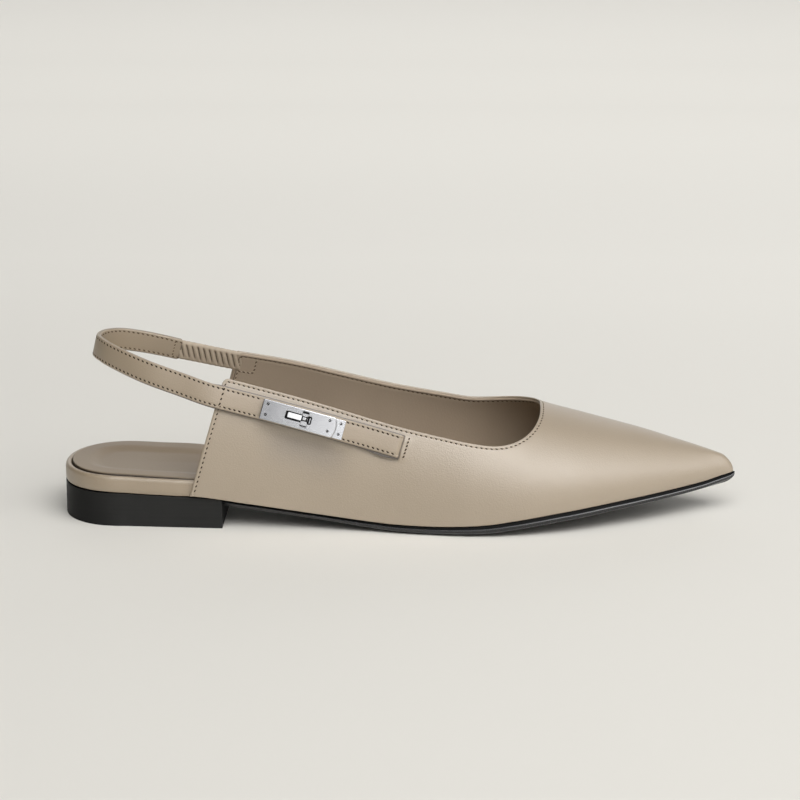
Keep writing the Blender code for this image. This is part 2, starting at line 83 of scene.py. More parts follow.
# %% The wire class
class Wire:
    """A socket of a material's nodes. Sums of wires and numbers add Math nodes."""

    def __init__(self, tree, socket=None):
        self.tree, self.socket = tree, socket

    def node(self, kind, settings={}, sockets={}, out=0):
        """Adds a node of any kind: its settings first, then the values or wires of its sockets."""
        made = self.tree.nodes.new("ShaderNode" + kind)
        for name, value in settings.items():
            setattr(made, name, value)
        for name, value in sockets.items():
            if isinstance(value, Wire):
                self.tree.links.new(value.socket, made.inputs[name])
            else:
                made.inputs[name].default_value = value
        return Wire(self.tree, made.outputs[out])

    def maths(self, operation, first, second=0.0):
        return self.node("Math", {"operation": operation}, {0: first, 1: second})

    def __add__(self, other):
        return self.maths("ADD", self, other)

    def __sub__(self, other):
        return self.maths("SUBTRACT", self, other)

    def __rsub__(self, other):
        return self.maths("SUBTRACT", other, self)

    def __mul__(self, other):
        return self.maths("MULTIPLY", self, other)

    __radd__, __rmul__ = __add__, __mul__

    def between(self, low, high):
        """0 at low, 1 at high, clamped outside them."""
        return self.node("MapRange", {"clamp": True}, {"Value": self, "From Min": low, "From Max": high})

    def blend(self, first, second):
        """A colour between two others, by this wire."""
        return self.node("Mix", {"data_type": "RGBA"}, {0: self, 6: first, 7: second}, out=2)


def new_finish(name, **constants):
    """A Principled material with its constants set: the material, its shader and the piece's coordinates."""
    made = bpy.data.materials.new(name)
    made.use_nodes = True
    shader = made.node_tree.nodes["Principled BSDF"]
    for socket, value in constants.items():
        shader.inputs[socket.replace("_", " ")].default_value = value
    return made, shader, Wire(made.node_tree).node("TexCoord", out="Object")


def feed(shader, socket, wire):
    """Links a wire to one of the shader's sockets."""
    wire.tree.links.new(wire.socket, shader.inputs[socket])


def noise(place, size_mm, detail=2.0, roughness=0.5):
    """Soft noise whose blotches are about this size."""
    sockets = {"Vector": place, "Scale": 1000.0 / size_mm, "Detail": detail, "Roughness": roughness}
    return place.node("TexNoise", {}, sockets)


def emboss(shader, height, depth_mm, strength):
    """Raises the surface by a wire of heights."""
    sockets = {"Strength": strength, "Distance": depth_mm * MM, "Height": height}
    feed(shader, "Normal", height.node("Bump", {}, sockets))


print("shader helpers ready")

# %% [markdown]
# ## Floor and light
# The photograph has a seamless warm grey sweep under broad, soft light, so the shadows are faint and the
# leather has one wide sheen along its shoulder. The floor is a plane that runs far behind the shoe,
# because the camera looks down far enough never to see its end. Three soft boxes above and in front shape
# the shoe, one at the right lights the toe, and two behind keep the sweep even to the top of the picture.
# Where a darker band is still left, the floor itself is painted lighter.

# %% Floor and light
FLOOR_SIZE = 16.0
NEAR_TONES = (0.702, 0.682, 0.630, 1), (0.722, 0.702, 0.652, 1)
FAR_TONE = (0.900, 0.876, 0.814, 1)
MOTTLE_SIZE = 900.0
BAND_STARTS, BAND_ENDS, SECOND_BAND, SECOND_SHARE = (-0.35, 0.4), (0.5, 1.1), (1.35, 1.95), 0.75
SKY_TONE, SKY_STRENGTH = (0.985, 0.985, 0.97, 1), 0.05
SHOE = (0, 0, 0)
SOFTBOXES = (
    ("overhead", (0.35, -0.6, 1.5), SHOE, 1.6, 1.4, 12.5),
    ("front high", (0.4, -1.3, 1.5), SHOE, 2.6, 1.1, 26.5),
    ("front low", (0.55, -1.95, 0.8), SHOE, 2.4, 1.2, 6.5),
    ("right", (1.5, -0.3, 0.7), SHOE, 1.0, 1.0, 5.0),
    ("far floor", (0.3, 1.12, 0.9), (0.3, 1.82, 0), 3.4, 0.6, 14.5),
    ("back wall", (0, 3.0, 1.0), (0, 0, 0.1), 4.0, 1.8, 24.0),
)
bpy.context.scene.view_settings.view_transform = "Standard"

bpy.ops.object.select_all(action="DESELECT")
bpy.ops.mesh.primitive_plane_add(size=FLOOR_SIZE)
floor = bpy.context.object
floor.name = floor.data.name = "floor"
floor_finish, shader, place = new_finish("pale floor", Roughness=0.85)
depth = place.node("SeparateXYZ", {}, {"Vector": place}, out="Y")
far = depth.between(*BAND_STARTS) * (1 - depth.between(*BAND_ENDS))
far = far + depth.between(*SECOND_BAND) * SECOND_SHARE
near = noise(place, MOTTLE_SIZE).blend(*NEAR_TONES)
feed(shader, "Base Color", far.blend(near, FAR_TONE))
floor.data.materials.append(floor_finish)


def softbox(name, spot, aim, width, depth, watts):
    """A flat rectangular white light at a spot, turned to face its aim."""
    way = Vector(spot) - Vector(aim)
    bpy.ops.object.light_add(type="AREA", location=spot, rotation=way.to_track_quat("Z", "Y").to_euler())
    lamp = bpy.context.object
    lamp.name = name
    lamp.data.shape = "RECTANGLE"
    lamp.data.size, lamp.data.size_y = width, depth
    lamp.data.energy = watts


for row in SOFTBOXES:
    softbox(*row)

world = bpy.data.worlds.new("studio")
bpy.context.scene.world = world
world.use_nodes = True
sky = world.node_tree.nodes["Background"]
sky.inputs["Color"].default_value = SKY_TONE
sky.inputs["Strength"].default_value = SKY_STRENGTH
print("floor and", len(SOFTBOXES), "lights")

# %% [markdown]
# ## The last
# A shoe gets its shape from its last, the solid foot form that the leather is pulled over. The CAD model
# describes the last by short tables of sections along the shoe. They are repeated here, in millimetres,
# with the same curves between their rows, so that every fine surface below lies on the same form. Crown,
# toe and collar are corrected by up to a millimetre, and the heel's rounded corners by two or three, where
# the photograph shows them more closely.

# %% Tables of the last
def table(heads, *rows):
    """A short table of sections: one named column of numbers for each word in heads."""
    return dict(zip(heads.split(), np.array(rows, float).T))


GAP = 0.3
HEEL_BACK, TOE_TIP = -134.3, 133.5
HEEL_ROUND, HEEL_POWER = 24.0, 2.1
HEEL_STRAIGHT = HEEL_BACK + HEEL_ROUND
TOE_ROUND, TOE_DROP = 7.0, 5.4
SOLE = table(
    "x lateral medial feather tread edge",
    (-134.3, -27.0, 27.0, 13.6, 10.9, 2.4),
    (-110.3, -27.0, 27.0, 13.6, 10.9, 2.4),
    (-95.0, -27.8, 25.2, 13.6, 10.9, 2.4),
    (-81.0, -28.6, 23.2, 13.1, 10.4, 2.4),
    (-60.0, -29.6, 20.8, 10.5, 7.7, 2.3),
    (-35.0, -31.0, 20.8, 7.2, 4.1, 2.2),
    (-10.0, -33.6, 25.4, 4.3, 0.9, 2.3),
    (-2.0, -34.8, 27.8, 3.7, 0.0, 2.4),
    (10.0, -36.6, 31.6, 3.5, 0.0, 2.4),
    (30.0, -38.6, 37.0, 4.3, 0.0, 2.8),
    (36.0, -38.6, 38.0, 4.9, 0.0, 3.0),
    (45.0, -38.0, 38.6, 6.2, 1.0, 3.1),
    (65.0, -33.6, 36.6, 8.8, 3.8, 3.1),
    (85.0, -25.2, 30.8, 10.7, 6.2, 2.9),
    (105.0, -14.2, 22.4, 12.1, 8.3, 2.7),
    (120.0, -4.8, 14.8, 13.3, 9.9, 2.5),
    (129.0, 0.4, 9.6, 14.8, 11.4, 2.4),
    (134.3, 1.4, 8.6, 15.7, 12.6, 2.4),
)
OUTSOLE_REACH = table(
    "x grow",
    (-134.3, 0.0),
    (-95.0, 0.0),
    (-66.0, -1.0),
    (-30.0, -0.8),
    (10.0, 0.0),
    (134.3, 0.0),
)
UPPER_REACH = table("x grow", (-82.0, 1.4), (-50.0, 0.6), (-10.0, -0.3), (30.0, -0.6), (134.3, -0.6))
CROWN = table(
    "x side height",
    (-82.0, 1.0, 84.0),
    (-40.0, 1.5, 75.0),
    (0.0, 3.0, 64.0),
    (30.0, 4.0, 55.0),
    (56.0, 4.5, 42.9),
    (72.0, 4.8, 38.5),
    (88.0, 5.0, 34.4),
    (98.0, 5.0, 31.8),
    (108.0, 5.0, 28.8),
    (120.0, 5.0, 25.2),
    (134.3, 5.0, 20.4),
)
OPENING = table(
    "x lateral medial",
    (-82.0, 0.735, 0.729),
    (-40.0, 0.77, 0.71),
    (0.0, 0.799, 0.735),
    (24.0, 0.81, 0.752),
)
FULLNESS, BULGE, WALL, TOE_BOX_FILL = 2.1, 1.0, 1.8, 2.6
THROAT_START, THROAT_FRONT, VAMP_START = 24.0, 55.2, 66.0
THROAT_POWER, INNER_THROAT_POWER = 3.3, 2.1
QUARTER_BACK, QUARTER_LEAN, LEAN_REACH, CORNER = -82.0, 12.6, 110.0, 4.0
MEDIAL_FORWARD, MEDIAL_REACH = 2.4, 70.0
print("last from", HEEL_BACK, "to", TOE_TIP, "mm")


# %% Curves of the last
def cubic(values, slopes, i, t, span):
    """The smooth curve from value i to the next one, at a share t of the span between them."""
    ends = values[i] * (1 + 2 * t) * (1 - t) ** 2 + values[i + 1] * t * t * (3 - 2 * t)
    return ends + span * t * (1 - t) * (slopes[i] * (1 - t) - slopes[i + 1] * t)


def follow(rows, head, x):
    """A smooth curve through a table's column that never swings past its rows."""
    xs, ys = rows["x"], rows[head]
    step = np.diff(xs)
    rise = np.diff(ys) / step
    slope = np.zeros(len(xs))
    slope[0], slope[-1] = rise[0], rise[-1]
    for i in range(1, len(xs) - 1):
        if rise[i - 1] * rise[i] > 0:
            near, far = 2 * step[i] + step[i - 1], step[i] + 2 * step[i - 1]
            slope[i] = (near + far) / (near / rise[i - 1] + far / rise[i])
    x = np.clip(np.asarray(x, float), xs[0], xs[-1])
    i = np.clip(np.searchsorted(xs, x, side="right") - 1, 0, len(step) - 1)
    t = (x - xs[i]) / step[i]
    return cubic(ys, slope, i, t, step[i])


def rounding(into, length, power):
    """0 at an end and 1 from length inwards, with a round shoulder between."""
    short = np.clip(1 - into / length, 0, 1)
    return (1 - short**power) ** (1 / power)


def ease(share):
    """A share held between 0 and 1, without a kink at either end."""
    share = np.clip(share, 0, 1)
    return share * share * (3 - 2 * share)


def hump(away, width):
    """1 in the middle of a soft hump, falling to 0 on both sides."""
    return np.exp(-((away / width) ** 2))


def run_along(points):
    """How far along a line each of its points lies."""
    return np.concatenate([[0], np.cumsum(np.linalg.norm(np.diff(points, axis=0), axis=1))])


def at_run(spots, run, line):
    """The points, or directions, of a line at distances along it."""
    return np.stack([np.interp(spots, run, line[:, k]) for k in range(3)], -1)


def heel_stations(back, length, first_angle, count):
    """Stations round the back of the heel, closest where its plan turns fastest."""
    return back + length * (1 - np.cos(np.radians(np.linspace(first_angle, 90, count))))


def outline(x, grow, fill=0.0):
    """Outer and inner edge of the shoe's plan at x, moved out by grow; fill takes more off the toe."""
    lateral, medial = follow(SOLE, "lateral", x), follow(SOLE, "medial", x)
    half = (medial - lateral) / 2 + grow
    half = half * rounding(x - HEEL_BACK + grow, HEEL_ROUND + grow, HEEL_POWER)
    half = half * rounding(TOE_TIP + grow - fill - x, TOE_ROUND + grow, 2.0)
    middle = (lateral + medial) / 2
    return middle - half, middle + half


def last_point(x, side, angle, inset=0.0):
    """Point of the upper on one side (-1 outer, 1 inner): angle 0 at the ridge, a right angle at the sole."""
    grow = follow(UPPER_REACH, "grow", x) - inset
    fill = TOE_BOX_FILL / WALL * inset
    edge = outline(x, grow, fill)[0 if side < 0 else 1]
    ridge, feather = follow(CROWN, "side", x), follow(SOLE, "feather", x)
    half = np.maximum(0.0, side * (edge - ridge))
    rise = np.maximum(0.0, follow(CROWN, "height", x) - feather - inset)
    rise = rise * rounding(TOE_TIP + grow - fill - x, TOE_DROP, 2.0)
    over, up = np.maximum(0.0, np.sin(angle)), np.maximum(0.0, np.cos(angle))
    out = half * over ** (2 / FULLNESS) + BULGE * np.minimum(1.0, half / 10) * 4 * over**6 * up
    across, height = ridge + side * out, feather + rise * up ** (2 / FULLNESS)
    return np.stack(np.broadcast_arrays(x, across, height), -1)


def unit(vectors):
    """The same directions with length 1."""
    return vectors / np.maximum(np.linalg.norm(vectors, axis=-1, keepdims=True), 1e-12)


def last_normal(x, side, angle):
    """Outward direction of the upper's face at a point."""
    along = last_point(x + 0.5, side, angle) - last_point(x - 0.5, side, angle)
    down = last_point(x, side, angle + 0.01) - last_point(x, side, angle - 0.01)
    return unit(np.cross(along, down) * side)


def opening_angle(x, side):
    """Angle from the ridge at which the upper stops: the opening's edge."""
    share = follow(OPENING, "lateral" if side < 0 else "medial", x)
    into = np.clip((x - THROAT_START) / (THROAT_FRONT - THROAT_START), 0, 1)
    power = THROAT_POWER if side < 0 else INNER_THROAT_POWER
    return np.arcsin((share * (1 - into**power) ** (1 / power)) ** (FULLNESS / 2))


def upper_point(start, end, side, height, inset=0.0, corner=CORNER):
    """Point at a share of the height, 0 on the sole and 1 at the opening, on a line up the upper."""
    into = start - QUARTER_BACK
    rise = follow(CROWN, "height", end) - follow(SOLE, "feather", end)
    drop = corner - np.sqrt(corner**2 - np.clip(corner - into, 0, corner) ** 2)
    reach = np.cos(opening_angle(end, side)) ** (2 / FULLNESS) - drop / rise
    top = np.arccos(np.clip(reach, 0, 1) ** (FULLNESS / 2))
    angle = np.pi / 2 + height * (top - np.pi / 2)
    x = start + (end - start) * np.maximum(0.0, np.cos(angle)) ** (2 / FULLNESS) / reach
    if side > 0:
        x = x + MEDIAL_FORWARD * np.maximum(0.0, 1 - into / MEDIAL_REACH) ** 2
    forward = np.maximum(0.0, (x - THROAT_FRONT) / (TOE_TIP - THROAT_FRONT))
    x = x - (1 + TOE_BOX_FILL / WALL) * inset * forward**3
    return last_point(x, side, angle, inset)


print("ball of the last at x = 30:", np.round(last_point(30.0, -1, 1.2), 1).tolist())

# %% [markdown]
# ## Laying grids on the last
# Leather is a sheet, so every soft piece starts as a flat grid. Its corners are then laid where the last
# says, much as a shoemaker pulls a flat cut over the form. Pulling a cube about with soft selection would
# also work, but it can't hold a collar line to a tenth of a millimetre. Grids that meet are joined and
# welded, and a grid that is rolled into a tube is capped at its ends.

# %% Grid helpers
WELD_REACH, SMOOTH_BELOW = 0.002, 50.0


def alone(*pieces):
    """Selects only these pieces; the first is the active one."""
    bpy.ops.object.select_all(action="DESELECT")
    for piece in pieces:
        piece.select_set(True)
    if pieces:
        bpy.context.view_layer.objects.active = pieces[0]


def new_piece(name):
    """The piece that an operator has just made, with its name."""
    piece = bpy.context.object
    piece.name = piece.data.name = name
    return piece


def face_outwards():
    """Turns every face of the piece in edit mode outwards, and leaves edit mode."""
    bpy.ops.mesh.select_all(action="SELECT")
    bpy.ops.mesh.normals_make_consistent(inside=False)
    bpy.ops.object.mode_set(mode="OBJECT")


def lay_grid(name, places, dye_and_painted_light=None):
    """A grid whose corners lie on places: rows by columns of points in millimetres. A value at its corners
    marks painted shade and highlight, and in places a dyed edge.
    """
    rows, columns = places.shape[:2]
    alone()
    bpy.ops.mesh.primitive_grid_add(x_subdivisions=columns - 1, y_subdivisions=rows - 1, size=1.0)
    piece = new_piece(name)
    piece.data.vertices.foreach_set("co", (places * MM).reshape(-1))
    if dye_and_painted_light is not None:
        dark = piece.data.attributes.new("dye_and_painted_light", "FLOAT", "POINT")
        values = np.broadcast_to(dye_and_painted_light, (rows, columns)).astype(np.float32)
        dark.data.foreach_set("value", values.reshape(-1))
    piece.data.update()
    return piece


def weld(name, pieces, cap=False, smooth=SMOOTH_BELOW):
    """Joins pieces into one, welds corners that touch, closes open ends and turns every face outwards."""
    alone(*pieces)
    if len(pieces) > 1:
        bpy.ops.object.join()
    piece = new_piece(name)
    bpy.ops.object.mode_set(mode="EDIT")
    bpy.ops.mesh.select_all(action="SELECT")
    bpy.ops.mesh.remove_doubles(threshold=WELD_REACH * MM)
    bpy.ops.mesh.dissolve_degenerate(threshold=WELD_REACH * MM * 0.2)
    if cap:
        bpy.ops.mesh.select_all(action="SELECT")
        bpy.ops.mesh.fill_holes(sides=0)
    face_outwards()
    bpy.ops.object.shade_smooth_by_angle(angle=math.radians(smooth))
    return piece


def tube(name, rings, smooth=SMOOTH_BELOW, dye_and_painted_light=None):
    """A closed piece through rings of points: a grid rolled up, welded along its seam and capped."""
    rings = np.asarray(rings)
    if dye_and_painted_light is not None:
        dye_and_painted_light = np.concatenate([dye_and_painted_light, dye_and_painted_light[..., :1]], axis=-1)
    rolled = lay_grid(name, np.concatenate([rings, rings[:, :1]], axis=1), dye_and_painted_light)
    return weld(name, [rolled], cap=True, smooth=smooth)


def settle(piece, slot, finishes, *nodes, body="shoe"):
    """Gives a piece its finishes, its body and the CAD nodes that it stands for. The slot argument is not used.
    """
    for finish in finishes:
        piece.data.materials.append(finish)
    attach(piece, body)
    if nodes:
        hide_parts(*nodes)
    print(piece.name, len(piece.data.polygons), "faces")
    return piece


print("grid helpers ready")

# %% [markdown]
# ## Leather finishes
# The upper is smooth calf leather: a very fine grain that only shows where the light grazes it, a soft
# satin gloss from a waxy coat, and a tone that drifts a little from place to place. Strap and rand get a
# slightly darker version of it, and the lining is a duller hide. A piece can carry a value in its corners,
# and the finish reads it to darken towards a dark brown. This is painted shade in folds, creases, grooves and
# along the strap's edges, where it is partly a dyed edge too. Grain could be painted as a picture, but
# noise at its true size, in the piece's own coordinates, needs no picture and has no seams. It drives a
# bump and a small change of roughness.

# %% Leather
SHADE_AND_DYE_TONE = (0.042, 0.029, 0.018)
COAT_ROUGHNESS, COAT_IOR, DRIFT_SIZE = 0.62, 2.0, 32.0


def leather(name, light, deep, roughness, grain_mm, grain_depth_mm, specular=0.5, coat=0.0):
    """Grained leather between two close tones, darkened where its corners carry painted shade."""
    gloss = {"Coat_Weight": coat, "Coat_Roughness": COAT_ROUGHNESS, "Coat_IOR": COAT_IOR}
    made, shader, place = new_finish(name, Specular_IOR_Level=specular, **gloss)
    cells = {"Vector": place, "Scale": 1000 / grain_mm, "Smoothness": 0.6}
    pebbles = place.node("TexVoronoi", {"feature": "SMOOTH_F1"}, cells)
    pores = noise(place, grain_mm * 0.6, detail=3.0, roughness=0.6)
    drift = noise(place, DRIFT_SIZE)
    tone = (drift * 0.8 + pores * 0.35 - 0.1).between(0.15, 0.95)
    # The corners' value darkens the tone: painted shade, and on the strap partly a dyed edge.
    dye_and_painted_light = place.node("Attribute", {"attribute_name": "dye_and_painted_light"}, out="Fac")
    feed(shader, "Base Color", dye_and_painted_light.blend(tone.blend((*light, 1), (*deep, 1)), (*SHADE_AND_DYE_TONE, 1)))
    feed(shader, "Roughness", pores * 0.16 + drift * 0.06 + (roughness - 0.11))
    emboss(shader, pebbles * 0.7 + pores * 0.6, grain_depth_mm, 0.6)
    return made


TAUPE_TONES = (0.366, 0.284, 0.191), (0.336, 0.258, 0.170)
DEEP_TONES = (0.340, 0.260, 0.170), (0.312, 0.236, 0.151)
LINING_TONES = (0.420, 0.335, 0.250), (0.380, 0.300, 0.220)
INSOLE_TONES = (0.290, 0.228, 0.160), (0.258, 0.201, 0.140)
taupe = leather("taupe leather", *TAUPE_TONES, 0.45, 0.56, 0.19, 1.0, 1.0)
deep_taupe = leather("deeper taupe leather", *DEEP_TONES, 0.45, 0.56, 0.17, 0.9, 0.7)
lining_finish = leather("lining leather", *LINING_TONES, 0.58, 0.8, 0.08, 0.45)
insole_finish = leather("insole leather", *INSOLE_TONES, 0.5, 0.9, 0.08, 0.4)
print("four leathers")

# %% [markdown]
# ## The strap's line
# The strap is sewn to the outer quarter, runs back over it, then round the heel in the air to the inner
# side. Its middle line comes first, because the upper needs to know where the strap dives into its slit.
# On the quarter the line is seated on the last. In the air it goes through the points of the CAD strap.

# %% Line of the strap
STRAP_WIDTH, STRAP_THICK = 8.8, 1.8
STRAP_SEAT = table(
    "x angle",
    (1.0, 60.8),
    (-11.0, 59.7),
    (-25.0, 58.9),
    (-39.0, 58.0),
    (-53.0, 57.0),
    (-64.0, 56.2),
    (-73.0, 55.5),
)
STRAP_LOOP = table(
    "x y z lean",
    (-85.3, -23.6, 56.9, 17.0),
    (-99.0, -19.9, 60.9, 14.0),
    (-109.6, -14.4, 64.1, 11.0),
    (-117.0, -8.0, 66.2, 12.0),
    (-120.8, 0.0, 67.0, 13.0),
    (-119.0, 7.0, 67.1, 11.0),
    (-113.6, 12.9, 66.4, 9.0),
    (-105.3, 16.8, 64.5, 10.0),
    (-97.5, 18.4, 62.6, 11.0),
    (-89.6, 19.2, 60.6, 12.0),
)
HEEL_HUB = np.array([-88.0, 0.0])
STRAP_POINTS = 320


def smooth_path(knots, count):
    """Points along a smooth curve through knots, close to evenly spaced."""
    reach = run_along(knots[:, :3])
    spots = np.linspace(0, reach[-1], count)
    i = np.clip(np.searchsorted(reach, spots, side="right") - 1, 0, len(reach) - 2)
    span = (reach[i + 1] - reach[i])[:, None]
    t = (spots - reach[i])[:, None] / span
    return cubic(knots, np.gradient(knots, reach, axis=0), i, t, span)


def strap_path(lift, count):
    """Middle of the strap, its upward direction and its direction away from the foot."""
    x, angle = STRAP_SEAT["x"], np.radians(STRAP_SEAT["angle"])
    seat_up = unit(last_point(x, -1, angle - 0.05) - last_point(x, -1, angle + 0.05))
    seat = last_point(x, -1, angle) + lift * last_normal(x, -1, angle)
    loop = np.stack([STRAP_LOOP[head] for head in ("x", "y", "z")], -1)
    tilt = np.radians(STRAP_LOOP["lean"])[:, None]
    loop_up = np.concatenate([unit(HEEL_HUB - loop[:, :2]) * np.sin(tilt), np.cos(tilt)], axis=1)
    path = smooth_path(np.concatenate([np.hstack([seat, seat_up]), np.hstack([loop, loop_up])]), count)
    middle = path[:, :3]
    along = unit(np.gradient(middle, axis=0))
    up = path[:, 3:]
    up = unit(up - along * (up * along).sum(1)[:, None])
    return middle, along, up, np.cross(up, along)


middle, along, up, out = strap_path(GAP + STRAP_THICK / 2, STRAP_POINTS)
strap_run = run_along(middle)
print("strap line", round(strap_run[-1], 1), "mm long")

# %% [markdown]
# ## The upper
# Vamp and quarters are one cut of leather. Its edge is folded over and sewn, so the collar shows a thin
# rounded rim with a shallow furrow where the seam pulls it in. The grid's lines run from the sole up to
# the collar. They crowd together at every edge, so that the rim can be truly round, and where the
# strap's slit needs a raised lip. Outer and inner face are two grids that meet in the rim. Below the clasp
# the strap's pull leaves a soft trough, which is also painted darker as shade, and a thin line of painted
# shade runs along the lining just under the rim, where the folded edge meets it.

# %% Lines and heights of the upper
EDGE_STEPS = np.array((0, 0.03, 0.12, 0.26, 0.45, 0.7, 0.95, 1.2, 1.45, 1.7, 2.0, 2.5, 3.2, 4.0))
SOLE_STEPS = np.array((0, 0.03, 0.12, 0.26, 0.45, 0.8, 1.4))
MIDDLE_STEPS, FULL_LINE = 26, 24.0
SLIT_FROM, SLIT_TO, COARSE, FINE, TOE_CAP = -5.0, 9.0, 1.3, 0.4, 10.0


def upper_lines():
    """Where each line up the upper starts on the sole and ends at the opening, heel to toe."""
    quarter = np.concatenate([
        QUARTER_BACK + EDGE_STEPS,
        np.arange(QUARTER_BACK + 4 * COARSE, SLIT_FROM, COARSE),
        np.arange(SLIT_FROM, SLIT_TO, FINE),
        np.arange(SLIT_TO + FINE, THROAT_START - 0.5, COARSE),
    ])
    leant = QUARTER_LEAN * np.maximum(0.0, 1 - (quarter - QUARTER_BACK) / LEAN_REACH) ** 2
    sides = np.arcsin(np.linspace(0, 0.8, 26) ** (THROAT_POWER / 2))
    left = np.linspace(np.cos(sides[-1]) ** (2 / THROAT_POWER), 0, 34)[1:]
    turn = np.concatenate([sides, np.arccos(left ** (THROAT_POWER / 2))])
    throat = THROAT_START + (VAMP_START - THROAT_START) * turn / (np.pi / 2)
    throat_end = THROAT_START + (THROAT_FRONT - THROAT_START) * np.sin(turn) ** (2 / THROAT_POWER)
    tip = TOE_TIP + UPPER_REACH["grow"][-1]
    vamp = tip - THROAT_FRONT
    toe_cap = vamp - TOE_CAP * (1 - np.sin(np.linspace(0.06, np.pi / 2, 24)))
    share = np.concatenate([EDGE_STEPS[1:], np.arange(5.0, vamp - TOE_CAP, 1.2), toe_cap]) / vamp
    start = np.concatenate([quarter, throat, VAMP_START + (tip - VAMP_START) * share])
    end = np.concatenate([quarter + leant, throat_end, THROAT_FRONT + vamp * share])
    return start[:, None], end[:, None], len(quarter) + len(throat)


def column_heights(start, end, side, corner):
    """Shares of the height for each line, at set distances from the collar and from the sole."""
    samples = np.linspace(0, 1, 240)
    fine = upper_point(start, end, side, samples[None, :], corner=corner)
    run = np.cumsum(np.linalg.norm(np.diff(fine, axis=1), axis=2), axis=1)
    run = np.concatenate([np.zeros((len(run), 1)), run], axis=1)
    heights = []
    for line in run:
        fit = min(1.0, line[-1] / FULL_LINE)
        low, high = SOLE_STEPS * fit, line[-1] - EDGE_STEPS[::-1] * fit
        marks = np.concatenate([low, np.linspace(low[-1], high[0], MIDDLE_STEPS)[1:-1], high])
        long = line[-1] > 0.01
        heights.append(np.interp(marks, line, samples) if long else np.linspace(0, 1, len(marks)))
    return np.array(heights), np.minimum(1.0, run[:, -1:] / FULL_LINE)


START, END, THROAT_LINE = upper_lines()
print(len(START), "lines up the upper, the throat ends at line", THROAT_LINE)


# %% Rim of the upper
def rim_line(corners):
    """The upper's free edge: up the outer quarter's back, along the collar, and down the inner side."""
    rise = np.linspace(0, 1, 60)[None, :]
    parts = []
    for side in (-1, 1):
        corner = corners[side]
        behind = upper_point(START[:1], END[:1], side, rise, corner=corner)[0]
        collar = upper_point(START[1:THROAT_LINE], END[1:THROAT_LINE], side, 1.0, corner=corner)[:, 0]
        parts.append(np.concatenate([behind, collar]))
    return np.concatenate([parts[0], parts[1][-2::-1]])


def distance(points, line):
    """Shortest way from each point to a line of points."""
    flat = points.reshape(-1, 3)
    best = np.full(len(flat), 1e9)
    for a, b in zip(line[:-1], line[1:]):
        span = b - a
        length = span @ span
        if length < 1e-12:
            continue
        t = np.clip((flat - a) @ span / length, 0, 1)
        best = np.minimum(best, np.linalg.norm(flat - a - t[:, None] * span, axis=1))
    return best.reshape(points.shape[:-1])


TIGHT_CORNER = 1.3
OUTER_CORNERS, LINING_CORNERS = {-1: CORNER, 1: TIGHT_CORNER}, {-1: CORNER, 1: CORNER}
RIM, LINING_RIM = rim_line(OUTER_CORNERS), rim_line(LINING_CORNERS)
print("rim", round(run_along(RIM)[-1], 1), "mm long")

# %% Upper and lining
SEAM_IN, SEAM_WIDE, SEAM_DEEP = 1.35, 0.32, 0.12
ROLL, ROLL_IN, ROLL_WIDE = 0.06, 0.75, 0.3
LIP_HIGH, LIP_LONG, LIP_HALF, LIP_FADE = 0.6, 2.6, 4.9, 1.2
LEATHER_INSIDE, LINING_OUTSIDE, LINING_INSIDE = 0.9, 0.95, 1.75


def slit_lip(points):
    """How far the upper is lifted in front of the slit that the strap's end goes into."""
    ahead, over = (points - middle[0]) @ -along[0], (points - middle[0]) @ up[0]
    inside = ease((LIP_HALF - np.abs(over)) / LIP_FADE)
    outer = points[..., 1] < 0
    return outer * LIP_HIGH * inside * np.where(ahead > -0.2, hump(ahead, LIP_LONG), 0)


DENT_DEEP, DENT_BELOW, DENT_ABOVE, DENT_UNDER, DENT_LONG = 0.85, 4.6, 3.0, 9.0, 16.0
DENT_SHADE, DENT_PLACE = 0.4, -34.0
FOLD, FOLD_WIDE, SIDE_ANGLE = 0.8, 0.2, np.pi / 3
dent_middle = int(np.abs(middle[:, 0] - DENT_PLACE).argmin())


def clasp_dent(points):
    """How far the quarter sinks below the clasp, where the strap's pull leaves a soft trough."""
    away = points - middle[dent_middle]
    below, ahead = -away @ up[dent_middle] - STRAP_WIDTH / 2, away @ along[dent_middle]
    outer = points[..., 1] < 0
    wide = np.where(below < DENT_BELOW, DENT_ABOVE, DENT_UNDER)
    return outer * DENT_DEEP * np.exp(-(((below - DENT_BELOW) / wide) ** 2) - (ahead / DENT_LONG) ** 4)


